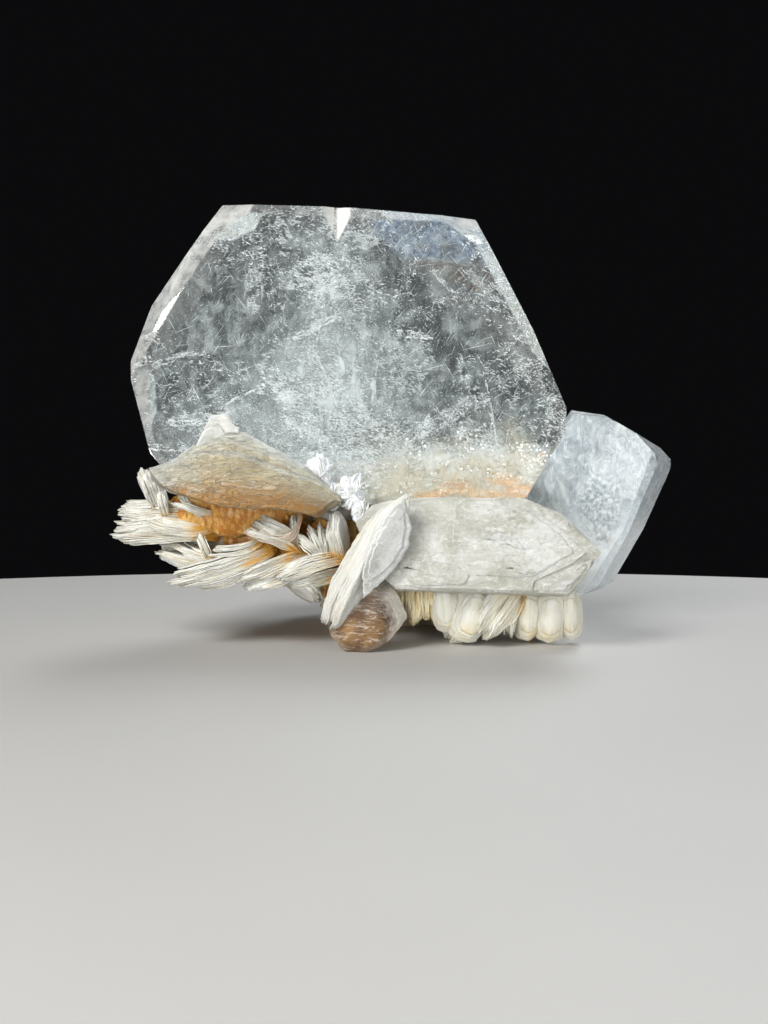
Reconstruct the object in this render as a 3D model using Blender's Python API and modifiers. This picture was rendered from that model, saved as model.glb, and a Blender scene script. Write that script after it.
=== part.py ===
"""Beryl on mica: a clear tabular beryl with a smaller one beside it, grown on books of muscovite.

Run with blender --background --python part.py, or from Blender's text editor.

X runs to the right, Y to the back and Z up, and the origin is on the ground under the middle of the
specimen. The constants are in millimetres and degrees, and MM turns millimetres into Blender's metres.

Each beryl is a block cut by its crystal faces. A face is (azimuth, distance) when it stands at a right
angle to the crystal's broad front, and (azimuth, distance, slope) when it slopes: azimuth is measured
in the broad front from the crystal's right towards its top, distance is from the middle of the broad
front to the edge that the face makes with it, and slope is the angle between the two faces.

Each mica book is a few packets of sheets, fanned from its root. A book is (root, tip, width, stack,
roll): width is across the sheets, stack is the height of the pile at its tip, and roll turns the
sheets about the line from root to tip, from edge-on to the viewer at 0 to face-on at 90.
"""
import math
import random

import bmesh
import bpy
from mathutils import Matrix, Vector, noise

MM = 0.001
GAP = 0.3
BACKWARDS = Vector((0.0, 1.0, 0.0))

# The large beryl: a tablet that leans back a little, with its broad front to the viewer.
TABLET_FRONT = (-5.0, -6.0, 30.1)
TABLET_THICK = 15.0
TABLET_TURN = 0.0
TABLET_LEAN = 6.0
TABLET_SIDES = (
    (88.5, 18.7), (85.0, 18.6), (27.4, 20.5), (23.2, 20.8), (-2.0, 24.3), (-30.7, 23.9),
    (-140.2, 22.7), (-165.0, 23.8), (180.0, 24.5), (168.0, 24.3), (160.1, 23.6), (144.8, 22.7),
)
TABLET_FRONT_BEVELS = (
    (87.5, 17.5, 30.0), (28.5, 19.2, 30.0), (21.5, 19.8, 30.0), (-28.0, 23.35, 30.0),
    (-142.0, 22.0, 30.0), (-176.0, 22.4, 28.0), (145.8, 20.8, 31.0), (149.6, 20.9, 22.0),
    (152.8, 21.6, 52.0), (121.8, 21.2, 45.0), (55.1, 20.0, 45.0), (-4.0, 23.7, 45.0),
)
TABLET_BACK_BEVELS = (
    (88.0, 16.6, 30.0), (27.0, 18.9, 30.0), (-30.0, 22.4, 30.0), (-150.0, 21.4, 30.0),
    (150.0, 19.6, 30.0), (46.0, 13.7, 38.0), (118.0, 20.2, 45.0), (-176.0, 22.6, 45.0),
)
FOOT_POINT = (0.0, -7.4, 15.9)          # where the large beryl's foot meets its front
FOOT_RISE = 16.0                        # how steeply its foot rises to the back
FOOT_ROLL = 2.0                         # how much it drops to the left

# The groove in the large beryl's top edge, between two small faces that meet in a valley.
NOTCH_LOW = (-1.35, 14.9, 0.0)          # in the tablet's own frame: right, up, out of the front
NOTCH_HIGH = (-1.30, 19.6, -2.6)
NOTCH_LEFT = (-3.1, 18.3, 0.0)
NOTCH_RIGHT = (0.4, 18.1, 0.0)
NOTCH_ROOM = 5.0                        # how far the cutter stands clear of the crystal

# The small beryl: a thinner tablet turned to the left, whose right side shows.
SMALL_FRONT = (22.9, 1.5, 14.3)
SMALL_THICK = 7.5
SMALL_TURN = 22.0
SMALL_LEAN = 4.0
SMALL_AGAINST = 5                       # the side of the large beryl that it grew against
SMALL_SIDES = (
    (84.5, 10.3), (75.9, 10.1), (62.0, 9.95), (12.0, 8.25), (-28.5, 5.05), (-21.0, 4.95),
    (-58.0, 8.2), (-78.0, 9.9), (-150.0, 10.5),
)
SMALL_FRONT_BEVELS = ((-31.0, 4.5, 40.0), (-19.0, 4.35, 40.0), (12.0, 7.9, 45.0))
SMALL_BACK_BEVELS = (
    (63.0, 8.6, 80.0), (46.0, 8.8, 84.0), (2.0, 7.2, 80.0), (-28.5, 4.2, 45.0), (80.0, 8.0, 45.0),
)

# The mica plate across the front, with two low ledges on its face.
PLATE_FRONT = (9.0, -12.5, 12.0)
PLATE_THICK = 3.4
PLATE_LEAN = 14.0
PLATE_SIDES = (
    (137.0, 11.4), (103.5, 6.95), (95.7, 5.8), (89.4, 5.2), (67.7, 6.75), (45.0, 9.1),
    (-35.8, 11.6), (-41.4, 11.3), (-92.0, 5.15), (-130.2, 9.4), (-154.8, 11.0),
)
PLATE_FACETS = ((56.0, 7.0, 14.0), (-38.0, 9.9, 22.0), (-92.0, 4.7, 30.0), (89.0, 4.9, 25.0))
PLATE_LEDGES = (                        # the outline of each, right and up
    ((-6.9, 4.8), (-1.5, 5.05), (5.2, 4.43), (9.5, 1.44), (11.9, -0.9), (10.4, -2.1),
     (6.2, -4.0), (6.0, -5.1), (-6.6, -4.7), (-8.6, -2.4), (-7.8, 1.1), (-7.4, 3.9)),
    ((6.8, -4.3), (10.5, -2.4), (12.6, -1.6), (12.4, -2.4), (11.3, -4.1), (9.9, -5.4), (6.7, -5.3)),
)
PLATE_LEDGE_THICK = 0.25
PLATE_ROOM = GAP + PLATE_LEDGE_THICK    # what the plate's neighbours leave for it

# The curved book at the left: its rim lies along the large beryl, and its lip juts to the viewer.
SHELL_RIM = (
    (-27.2, -9.0, 20.1), (-24.7, -8.8, 20.8), (-22.2, -8.4, 22.5), (-18.4, -8.2, 24.2),
    (-15.0, -8.3, 23.0), (-11.6, -8.6, 21.2), (-8.5, -9.0, 19.3), (-5.9, -9.5, 16.9),
)
SHELL_LIP = (
    (-26.8, -10.6, 19.0), (-24.2, -12.6, 17.9), (-21.9, -13.4, 17.2), (-18.8, -14.2, 16.5),
    (-15.3, -14.6, 16.3), (-11.6, -14.6, 16.2), (-8.6, -13.8, 15.3), (-6.2, -12.4, 14.6),
)
SHELL_THICK = 1.7
SHELL_CROWN = 0.9
CROWN_WAY = Vector((0.0, -0.6, 0.8))
SHELL_STEPS = (16, 5)
SHELL_BLADES = (((-21.2, -10.8, 16.9), (-19.5, -8.1, 26.0), 4.6, 1.5, 83.0),)

# The book seen edge-on in the middle, thick at its waist, and the rounded book at its foot.
LENS_HUBS = (((-3.6, -12.6, 7.6), (2.4, 1.4, 4.6)), ((-3.2, -12.1, 3.9), (4.3, 1.9, 4.1)))
LENS_BACK = -11.0                       # it ends here, and the books behind it begin
LENS_LEFT = -9.6
LENS_RIGHT = 3.2
LENS_FOOT = (-8.0, -12.8, 2.8)
LENS_TOP = (1.0, -14.0, 17.4)
LENS_STACK = 3.0
LENS_WIDTH = 4.8
LENS_ROLL = -42.0
LENS_PACKETS = 5
LENS_POINT = 0.50                       # how far the outer packets fall short of the longest
LENS_NARROWING = 0.15                   # and how much narrower they are

# The white books at the left.
LEFT_HUBS = (
    ((-14.0, -0.9, 11.2), (9.6, 6.2, 5.2)), ((-7.0, -4.8, 10.0), (5.0, 3.6, 4.2)),
    ((-4.8, -0.6, 9.0), (7.0, 6.4, 5.4)), ((-17.4, -7.0, 15.4), (7.4, 3.2, 3.4)),
)
LEFT_BOOKS = (
    ((-20.0, -4.4, 14.0), (-32.4, -6.4, 14.9), 6.5, 2.2, 6.0),
    ((-19.8, -6.6, 13.3), (-28.6, -9.2, 14.2), 5.0, 1.6, -6.0),
    ((-19.9, -5.6, 12.3), (-32.6, -8.0, 13.2), 6.5, 2.0, 6.0),
    ((-19.6, -4.2, 13.0), (-32.4, -6.0, 13.6), 6.5, 1.4, 0.0),
    ((-17.6, -6.2, 8.3), (-27.2, -8.8, 10.6), 5.0, 1.2, 4.0),
    ((-17.6, -6.0, 8.9), (-25.4, -7.6, 11.5), 5.0, 1.3, -4.0),
    ((-20.8, -7.4, 9.6), (-21.9, -9.4, 12.9), 3.0, 0.9, 10.0),
    ((-13.4, -7.0, 10.9), (-25.3, -10.8, 7.5), 6.0, 2.1, 6.0),
    ((-13.2, -6.2, 9.5), (-23.6, -9.4, 6.6), 6.0, 1.5, -4.0),
    ((-9.6, -7.6, 10.5), (-18.3, -10.8, 7.2), 5.5, 1.7, 8.0),
    ((-14.4, -8.0, 12.3), (-21.0, -9.8, 10.5), 4.0, 1.3, 6.0),
    ((-9.4, -7.0, 9.8), (-17.2, -10.2, 6.4), 5.5, 1.8, -6.0),
    ((-20.0, -4.4, 8.3), (-25.0, -6.2, 7.5), 5.0, 1.1, 0.0),
    ((-4.3, -8.0, 10.0), (-13.8, -11.2, 8.2), 5.5, 1.9, 6.0),
    ((-13.1, -7.2, 8.2), (-7.5, -11.0, 5.7), 5.0, 1.6, -30.0),
    ((-5.0, -7.6, 8.7), (-12.2, -10.4, 7.0), 5.0, 1.5, 0.0),
    ((-8.0, -8.4, 8.6), (-10.6, -11.6, 13.0), 3.2, 1.1, 14.0),
    ((-7.5, -8.2, 8.6), (-8.3, -11.6, 14.2), 3.2, 0.9, 0.0),
    ((-7.2, -7.8, 8.6), (-7.4, -11.0, 13.0), 3.0, 0.8, -8.0),
    ((-10.2, -7.6, 10.0), (-11.3, -10.8, 15.0), 3.0, 0.9, 0.0),
    ((-10.6, -8.0, 11.1), (-15.7, -11.4, 14.5), 4.2, 2.4, 10.0),
    ((-10.8, -8.6, 10.4), (-16.2, -12.0, 13.5), 4.0, 0.8, 6.0),
    ((-19.9, -8.6, 15.0), (-24.8, -11.4, 16.5), 3.0, 0.7, 8.0),
    ((-26.4, -6.0, 14.8), (-27.8, -8.8, 20.1), 4.0, 2.0, 12.0),
    ((-5.4, -8.8, 9.2), (-7.2, -11.8, 15.9), 3.6, 1.6, -20.0),
    ((-14.0, -1.0, 12.4), (-27.0, 1.4, 13.6), 8.0, 2.4, -10.0),
    ((-15.0, 0.6, 13.6), (-25.6, 4.6, 16.4), 6.6, 2.0, 24.0),
    ((-13.0, -0.6, 9.6), (-23.0, 0.4, 8.2), 8.0, 2.6, 12.0),
    ((-14.4, -2.6, 11.0), (-27.4, -2.8, 10.6), 8.0, 2.0, 4.0),
    ((-6.2, -8.6, 11.0), (-8.5, -9.0, 20.8), 2.6, 1.9, 40.0),
    ((-5.6, -8.6, 11.0), (-4.9, -9.0, 19.4), 2.6, 2.2, 50.0),
    ((-5.0, -8.6, 11.0), (-3.2, -9.1, 18.2), 2.6, 1.7, 30.0),
)

# The books and columns under the plate.
UNDER_HUBS = (
    ((9.2, -1.6, 7.8), (10.0, 7.6, 5.8)), ((2.4, -0.8, 8.0), (6.0, 6.8, 5.4)),
    ((7.2, -8.8, 3.5), (3.2, 1.9, 3.5)), ((16.2, -7.9, 3.0), (1.6, 2.0, 3.4)),
    ((18.2, -7.5, 3.1), (1.4, 1.9, 3.3)),
)
UNDER_BOOKS = (
    ((0.6, -5.4, 8.4), (0.9, -8.4, 2.9), 4.0, 1.2, 8.0),
    ((2.4, -5.6, 8.4), (2.2, -8.9, 2.3), 4.0, 1.3, 0.0),
    ((3.6, -5.8, 8.4), (3.5, -9.2, 2.6), 4.0, 1.1, 4.0),
    ((4.8, -5.6, 8.4), (4.6, -8.6, 2.0), 4.0, 1.3, 8.0),
    ((15.2, -6.6, 7.9), (8.9, -10.2, 1.0), 5.0, 3.2, 12.0),
    ((14.4, -6.2, 7.0), (9.8, -9.4, 0.6), 5.0, 2.4, -6.0),
    ((12.7, -5.6, 8.0), (12.5, -9.2, 0.5), 4.0, 1.3, 0.0),
    ((14.0, -5.6, 8.0), (13.9, -9.4, -0.2), 4.0, 1.5, 4.0),
    ((19.2, -5.0, 8.4), (19.6, -8.6, 0.0), 5.0, 1.5, 6.0),
    ((20.0, -4.6, 8.8), (21.0, -8.0, 0.8), 5.0, 1.4, 10.0),
    ((9.0, -4.0, 7.0), (6.2, -6.2, -1.0), 8.0, 3.6, 0.0),
    ((12.0, -2.0, 8.0), (18.6, -2.6, 1.2), 8.0, 2.6, 0.0),
    ((6.0, -3.0, 8.0), (0.4, -4.6, 2.0), 7.0, 2.4, 0.0),
    ((7.4, -5.4, 8.0), (7.2, -9.4, 0.4), 4.4, 2.6, 40.0),
    ((16.4, -5.0, 8.2), (16.2, -8.6, 0.4), 2.8, 2.2, 20.0),
    ((18.0, -4.6, 8.2), (18.2, -8.2, 0.4), 2.6, 1.8, 10.0),
)

# The books at the back, which carry the specimen there.
BACK_HUBS = (((3.6, 7.0, 6.4), (12.2, 5.8, 8.8)),)
BACK_BOOKS = (
    ((-4.0, 8.0, 9.6), (-17.4, 11.0, 12.4), 7.0, 2.6, 10.0),
    ((-4.0, 7.6, 8.0), (-15.6, 10.6, 7.6), 7.0, 2.4, -8.0),
    ((-3.0, 8.0, 7.0), (-11.4, 12.0, 3.4), 7.4, 2.8, 16.0),
    ((-2.0, 9.0, 6.6), (-7.6, 13.2, -1.0), 7.4, 3.4, 0.0),
    ((-1.0, 9.0, 10.0), (-9.6, 14.0, 12.8), 6.0, 2.2, 30.0),
    ((-1.0, 9.0, 8.0), (-5.8, 15.0, 6.4), 6.4, 2.6, 64.0),
    ((1.0, 9.0, 8.0), (0.6, 15.7, 4.0), 6.6, 3.0, 74.0),
    ((2.0, 9.0, 9.6), (0.4, 15.0, 10.6), 6.6, 2.4, 60.0),
    ((2.0, 9.0, 6.6), (3.0, 14.0, -1.0), 7.0, 3.2, 44.0),
    ((4.0, 9.0, 9.6), (6.6, 15.0, 12.0), 6.6, 2.6, 62.0),
    ((5.0, 9.0, 7.6), (8.2, 15.2, 5.6), 6.6, 2.6, 68.0),
    ((6.0, 9.0, 6.6), (11.0, 13.6, -1.0), 7.0, 3.2, 18.0),
    ((8.0, 8.0, 7.6), (16.2, 11.6, 2.8), 7.0, 2.8, 0.0),
    ((8.0, 8.0, 9.4), (17.2, 12.4, 7.4), 7.0, 2.4, 8.0),
    ((7.0, 8.6, 10.6), (13.6, 13.6, 12.6), 6.6, 2.2, -14.0),
)

# The iron-stained seat between the large beryl and the mica.
SEAT_CENTRE = (0.6, 1.6, 15.0)
SEAT_RADII = (16.0, 8.6, 7.6)

# Where one mass of mica ends and the next begins.
LEFT_EDGE = -2.0                        # the left books end here, and those under the plate begin
BACK_EDGE = 3.2                         # the back books begin here
SEAT_EDGE = 12.6                        # the seat begins above this height
SEAT_RIGHT = 15.2                       # and ends here
SEAT_ROOM = 0.5                         # how much wider the room is that the mica leaves for it
FAR = 60.0                              # further than any part of the specimen

# How lumps and packets are made.
HUB_ROUGHNESS = 0.25
HUB_ROUNDS = 2                          # how often a hub's icosphere is divided
SEAT_ROUGHNESS = 0.3
SEAT_ROUNDS = 3
LUMP_WAVES = 2.3                        # how fine a lump's unevenness is
PACKETS = 3                             # packets of sheets in a book
THIN_PACKETS = 2                        # and in a thin one
THIN_STACK = 1.4                        # whose stack isn't as high as this
PACKET_OVERLAP = 1.12
PACKET_STEP = 0.06                      # how much shorter each packet is than the next
PACKET_TWIST = 0.06                     # radians that a packet is turned by chance
PACKET_WIDTHS = (0.82, 1.0)             # the narrowest and the widest share of the book's width
ROOT_WIDTH = 0.62                       # a packet's width at its root, as a share of its own
ROOT_SPREAD = 0.50                      # the stack's height at the root, as a share of the tip's
SEED = 11

# Each piece's material: its name, colour and roughness.
FINISHES = {
    "beryl_crystal": ("clear_beryl", (0.86, 0.90, 0.92), 0.06),
    "beryl_crystal_small": ("cloudy_beryl", (0.74, 0.80, 0.84), 0.25),
    "stained_matrix": ("iron_stain", (0.78, 0.48, 0.18), 0.75),
    "mica_plate": ("pale_mica", (0.80, 0.78, 0.70), 0.35),
    "mica_shell_book": ("beige_mica", (0.74, 0.68, 0.56), 0.35),
    "mica_lens_book": ("warm_mica", (0.80, 0.72, 0.64), 0.40),
    "mica_rosette_left": ("white_mica", (0.86, 0.82, 0.74), 0.40),
    "mica_rosette_under": ("cream_mica", (0.84, 0.78, 0.66), 0.40),
    "mica_rosette_back": ("dull_mica", (0.78, 0.74, 0.66), 0.45),
}


def clear_scene():
    """Removes every object, so that the script gives the same result in any file."""
    for obj in list(bpy.data.objects):
        bpy.data.objects.remove(obj, do_unlink=True)


def collection(name):
    """A new collection in the scene."""
    made = bpy.data.collections.new(name)
    bpy.context.scene.collection.children.link(made)
    return made


def material(name, colour, roughness):
    """A plain Principled material."""
    made = bpy.data.materials.new(name)
    made.use_nodes = True
    shader = made.node_tree.nodes["Principled BSDF"]
    shader.inputs["Base Color"].default_value = (*colour, 1.0)
    shader.inputs["Roughness"].default_value = roughness
    shader.inputs["Metallic"].default_value = 0.0
    return made


def finish(parts):
    """Gives every piece its own material."""
    for obj in parts.objects:
        obj.data.materials.clear()
        obj.data.materials.append(material(*FINISHES[obj.name]))


def new_object(name, bm, group):
    """An object that takes its mesh from bm, whose lengths are millimetres."""
    bmesh.ops.scale(bm, vec=(MM, MM, MM), verts=bm.verts)
    mesh = bpy.data.meshes.new(name)
    bm.to_mesh(mesh)
    bm.free()
    obj = bpy.data.objects.new(name, mesh)
    group.objects.link(obj)
    return obj


def as_cutter(obj):
    """Marks obj as a cutter, which is no part of the specimen."""
    obj.hide_render = True
    obj.display_type = "WIRE"
    return obj


def cut(bm, point, normal):
    """Cuts away what lies beyond the plane, and closes the section with one face."""
    geometry = bm.verts[:] + bm.edges[:] + bm.faces[:]
    result = bmesh.ops.bisect_plane(
        bm, geom=geometry, dist=1e-5, plane_co=point, plane_no=normal, clear_outer=True)
    edges = [part for part in result["geom_cut"] if isinstance(part, bmesh.types.BMEdge)]
    if edges:
        bmesh.ops.holes_fill(bm, edges=edges)


def cut_block(name, middle, planes, group):
    """A block cut by planes, each a point and an outward normal."""
    bm = bmesh.new()
    bmesh.ops.create_cube(bm, size=2.0 * FAR, matrix=Matrix.Translation(middle))
    for point, normal in planes:
        cut(bm, point, normal)
    bmesh.ops.recalc_face_normals(bm, faces=bm.faces)
    return new_object(name, bm, group)


class Tablet:
    """A flat crystal's own frame: right and up in its broad front, and out towards the viewer."""

    def __init__(self, front, turn, lean, thick):
        turn_by, lean_by = math.radians(turn), math.radians(lean)
        self.front = Vector(front)
        self.thick = thick
        self.right = Vector((math.cos(turn_by), -math.sin(turn_by), 0.0))
        self.out = Vector((
            -math.sin(turn_by) * math.cos(lean_by),
            -math.cos(turn_by) * math.cos(lean_by),
            math.sin(lean_by)))
        self.up = self.right.cross(-self.out)

    def point(self, right, up, out):
        """A place given in the crystal's own frame."""
        return self.front + right * self.right + up * self.up + out * self.out

    def away(self, azimuth):
        """The direction at an azimuth in the broad front."""
        angle = math.radians(azimuth)
        return math.cos(angle) * self.right + math.sin(angle) * self.up

    def face(self, azimuth, distance, slope, out, depth):
        """The plane of one face, as a point and an outward normal."""
        angle = math.radians(slope)
        way = self.away(azimuth)
        normal = math.sin(angle) * way + math.cos(angle) * out
        return self.front + distance * way - depth * self.out, normal

    def faces(self, sides, front_bevels, back_bevels):
        """Every plane of the crystal."""
        planes = [(self.front, self.out), (self.front - self.thick * self.out, -self.out)]
        planes += [self.face(azimuth, distance, 90.0, self.out, 0.0) for azimuth, distance in sides]
        planes += [self.face(*bevel, self.out, 0.0) for bevel in front_bevels]
        planes += [self.face(*bevel, -self.out, self.thick) for bevel in back_bevels]
        return planes


def grown(planes, distance):
    """The same planes moved outwards."""
    return [(point + distance * normal, normal) for point, normal in planes]


def large_tablet():
    """The large beryl's own frame."""
    return Tablet(TABLET_FRONT, TABLET_TURN, TABLET_LEAN, TABLET_THICK)


def foot_plane():
    """The large beryl's foot, which rises to the back and drops a little to the left."""
    rise, roll = math.radians(FOOT_RISE), math.radians(FOOT_ROLL)
    normal = Vector((math.sin(roll), math.sin(rise), -math.cos(rise)))
    return Vector(FOOT_POINT), normal.normalized()


def tablet_planes():
    """The large beryl's faces and foot."""
    faces = large_tablet().faces(TABLET_SIDES, TABLET_FRONT_BEVELS, TABLET_BACK_BEVELS)
    return faces + [foot_plane()]


def small_planes():
    """The small beryl's faces, with the side that grew against the large beryl."""
    small = Tablet(SMALL_FRONT, SMALL_TURN, SMALL_LEAN, SMALL_THICK)
    tablet = large_tablet()
    azimuth, distance = TABLET_SIDES[SMALL_AGAINST]
    point, normal = tablet.face(azimuth, distance + GAP, 90.0, tablet.out, 0.0)
    return small.faces(SMALL_SIDES, SMALL_FRONT_BEVELS, SMALL_BACK_BEVELS) + [(point, -normal)]


def plate_planes():
    """The mica plate's faces."""
    plate = Tablet(PLATE_FRONT, 0.0, PLATE_LEAN, PLATE_THICK)
    return plate.faces(PLATE_SIDES, PLATE_FACETS, ())


def notch_cutter(group):
    """The block that cuts the groove: all that lies in front of its two small faces."""
    tablet = large_tablet()
    low, high = tablet.point(*NOTCH_LOW), tablet.point(*NOTCH_HIGH)
    left, right = tablet.point(*NOTCH_LEFT), tablet.point(*NOTCH_RIGHT)
    inside = tablet.point(NOTCH_LOW[0], NOTCH_HIGH[1], 1.0)
    planes = []
    for corner in (left, right):
        normal = (high - low).cross(corner - low).normalized()
        if normal.dot(inside - low) > 0.0:
            normal.negate()
        planes.append((low, normal))
    planes.append((low - tablet.up, -tablet.up))
    planes.append((tablet.point(0.0, 0.0, NOTCH_ROOM), tablet.out))
    planes.append((high + NOTCH_ROOM * tablet.up, tablet.up))
    return as_cutter(cut_block("notch_cutter", inside, planes, group))


def subtract(obj, cutter):
    """A Boolean modifier that takes the cutter away from the object."""
    step = obj.modifiers.new("cut", "BOOLEAN")
    step.operation = "DIFFERENCE"
    step.solver = "EXACT"
    step.object = cutter


def applied(obj):
    """Replaces the object's mesh with the result of its modifiers."""
    bpy.context.view_layer.update()
    graph = bpy.context.evaluated_depsgraph_get()
    mesh = bpy.data.meshes.new_from_object(obj.evaluated_get(graph))
    obj.modifiers.clear()
    obj.data = mesh
    return obj


def island(face, seen):
    """The faces that hang together with this one."""
    found = [face]
    seen.add(face)
    for reached in found:
        for edge in reached.edges:
            for neighbour in edge.link_faces:
                if neighbour not in seen:
                    seen.add(neighbour)
                    found.append(neighbour)
    return found


def keep_largest(obj):
    """Deletes every loose chip that the cutting left, and keeps the main body."""
    bm = bmesh.new()
    bm.from_mesh(obj.data)
    seen = set()
    islands = [island(face, seen) for face in bm.faces if face not in seen]
    main = set(max(islands, key=lambda faces: sum(face.calc_area() for face in faces)))
    bmesh.ops.delete(bm, geom=[face for face in bm.faces if face not in main], context="FACES")
    bm.to_mesh(obj.data)
    bm.free()
    return obj


def add_leaf(bm, root, along, normal, length, width, thick):
    """A six-sided mica packet, pointed at its tip and narrower at its root."""
    made = bmesh.ops.create_cone(
        bm, cap_ends=True, segments=6, radius1=1.0, radius2=1.0, depth=1.0)
    across = along.cross(normal)
    for vert in made["verts"]:
        reach = vert.co.y * 0.5 + 0.5
        spread = ROOT_WIDTH + (1.0 - ROOT_WIDTH) * reach
        vert.co = (root + reach * length * along + vert.co.x * spread * width * 0.5 * across
                   + vert.co.z * thick * normal)


def book_packets(name, chance, book, group):
    """A book of mica: packets that share a root and fan out to the height of the stack."""
    root, tip, width, stack, roll = book
    root, tip = Vector(root), Vector(tip)
    length = (tip - root).length
    along = (tip - root).normalized()
    normal = along.cross(BACKWARDS).normalized()
    normal.rotate(Matrix.Rotation(math.radians(roll), 3, along))
    packets = THIN_PACKETS if stack < THIN_STACK else PACKETS
    thick = stack / packets * PACKET_OVERLAP
    order = list(range(packets))
    chance.shuffle(order)
    for number in range(packets):
        share = number / (packets - 1) - 0.5
        rise = share * (stack - thick)
        start = root + ROOT_SPREAD * rise * normal
        end = root + length * (1.0 - PACKET_STEP * order[number]) * along + rise * normal
        way = (end - start).normalized()
        across = way.cross(normal)
        up = across.cross(way).normalized()
        up.rotate(Matrix.Rotation(chance.uniform(-PACKET_TWIST, PACKET_TWIST), 3, way))
        bm = bmesh.new()
        wide = width * chance.uniform(*PACKET_WIDTHS)
        add_leaf(bm, start, way, up, (end - start).length, wide, thick)
        bmesh.ops.recalc_face_normals(bm, faces=bm.faces)
        as_cutter(new_object(f"{name}_packet", bm, group))


def add_lump(bm, centre, radii, subdivisions, roughness):
    """A rounded lump whose surface is uneven."""
    made = bmesh.ops.create_icosphere(bm, subdivisions=subdivisions, radius=1.0)
    for vert in made["verts"]:
        swell = 1.0 + roughness * noise.noise(vert.co * LUMP_WAVES + Vector(centre))
        vert.co = Vector(centre) + Vector(radii) * vert.co * swell


def box_cutter(name, low, high, group):
    """A box between two corners."""
    bm = bmesh.new()
    low, high = Vector(low), Vector(high)
    size = Matrix.Diagonal((*(high - low), 1.0))
    bmesh.ops.create_cube(bm, size=1.0, matrix=Matrix.Translation((low + high) / 2.0) @ size)
    return as_cutter(new_object(name, bm, group))


def lens_packets(name, group):
    """The packets of the edge-on book: side by side, the outer ones shorter, like a lens."""
    foot, top = Vector(LENS_FOOT), Vector(LENS_TOP)
    along = (top - foot).normalized()
    normal = along.cross(BACKWARDS).normalized()
    normal.rotate(Matrix.Rotation(math.radians(LENS_ROLL), 3, along))
    thick = LENS_STACK / LENS_PACKETS
    for number in range(LENS_PACKETS):
        share = 2.0 * number / (LENS_PACKETS - 1) - 1.0
        length = (top - foot).length * math.sqrt(1.0 - LENS_POINT * share * share)
        middle = (foot + top) / 2.0 + 0.5 * share * (LENS_STACK - thick) * normal
        turned = normal.copy()
        turned.rotate(Matrix.Rotation(PACKET_TWIST * share, 3, along))
        bm = bmesh.new()
        add_leaf(bm, middle - length / 2.0 * along, along, turned, length,
                 LENS_WIDTH * (1.0 - LENS_NARROWING * share * share), thick * PACKET_OVERLAP)
        bmesh.ops.recalc_face_normals(bm, faces=bm.faces)
        as_cutter(new_object(name + "_packet", bm, group))


def join_collection(obj, packets):
    """Grows every solid of a collection into the object."""
    step = obj.modifiers.new("books", "BOOLEAN")
    step.operation = "UNION"
    step.solver = "EXACT"
    step.operand_type = "COLLECTION"
    step.collection = packets


def packet_collection(name, books, cutter_group):
    """The packets of these books, in a collection of their own."""
    chance = random.Random(SEED + len(name))
    packets = bpy.data.collections.new(name + "_packets")
    cutter_group.children.link(packets)
    for book in books:
        book_packets(name, chance, book, packets)
    return packets


def cut_back(obj, cutters):
    """Cuts an object back from what stands against it, and keeps its main body."""
    for cutter in cutters:
        subtract(obj, cutter)
    return keep_largest(applied(obj))


def mica_mass(name, packets, hubs, cutters, group):
    """Books of mica grown together round one or more hubs."""
    lumps = []
    for centre, radii in hubs:
        bm = bmesh.new()
        add_lump(bm, centre, radii, HUB_ROUNDS, HUB_ROUGHNESS)
        lumps.append(bm)
    obj = new_object(name, lumps[0], group)
    for bm in lumps[1:]:
        as_cutter(new_object(name + "_hub", bm, packets))
    join_collection(obj, packets)
    return cut_back(obj, cutters)


def between(points, share):
    """A place along a list of points, by straight steps."""
    place = share * (len(points) - 1)
    index = min(int(place), len(points) - 2)
    return Vector(points[index]).lerp(Vector(points[index + 1]), place - index)


def shell_sheet(name, thick, margin, group):
    """The curved sheet from rim to lip, crowned in the middle, with its thickness below it."""
    bm = bmesh.new()
    bmesh.ops.create_grid(bm, x_segments=SHELL_STEPS[0], y_segments=SHELL_STEPS[1], size=0.5)
    for vert in bm.verts:
        run, drop = vert.co.x + 0.5, vert.co.y + 0.5
        rim, lip = between(SHELL_RIM, run), between(SHELL_LIP, run)
        way = (lip - rim).normalized()
        crown = SHELL_CROWN * math.sin(math.pi * drop)
        vert.co = rim.lerp(lip, drop) + way * margin * (2.0 * drop - 1.0)
        vert.co += crown * CROWN_WAY
        vert.co.x += margin * (2.0 * run - 1.0)
    bmesh.ops.recalc_face_normals(bm, faces=bm.faces)
    if sum(face.normal.z for face in bm.faces) < 0.0:
        bmesh.ops.reverse_faces(bm, faces=bm.faces)
    obj = new_object(name, bm, group)
    wall = obj.modifiers.new("wall", "SOLIDIFY")
    wall.thickness = thick * MM
    wall.offset = -1.0
    return obj


def seat_lump(name, extra, group):
    """The seat's uneven lump, with its radii larger by extra."""
    bm = bmesh.new()
    radii = [radius + extra for radius in SEAT_RADII]
    add_lump(bm, SEAT_CENTRE, radii, SEAT_ROUNDS, SEAT_ROUGHNESS)
    return new_object(name, bm, group)


def add_ledges(plate, group):
    """Grows the low steps on the plate's front."""
    frame = Tablet(PLATE_FRONT, 0.0, PLATE_LEAN, PLATE_THICK)
    ledges = bpy.data.collections.new("plate_ledges")
    group.children.link(ledges)
    for outline in PLATE_LEDGES:
        bm = bmesh.new()
        floors = [[bm.verts.new(frame.point(right, up, depth)) for right, up in outline]
                  for depth in (-PLATE_LEDGE_THICK, PLATE_LEDGE_THICK)]
        for corners in floors:
            bm.faces.new(corners)
        for corner in range(len(outline)):
            bm.faces.new([floors[0][corner - 1], floors[0][corner],
                          floors[1][corner], floors[1][corner - 1]])
        bmesh.ops.recalc_face_normals(bm, faces=bm.faces)
        as_cutter(new_object("plate_ledge", bm, ledges))
    join_collection(plate, ledges)
    keep_largest(applied(plate))


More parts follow.
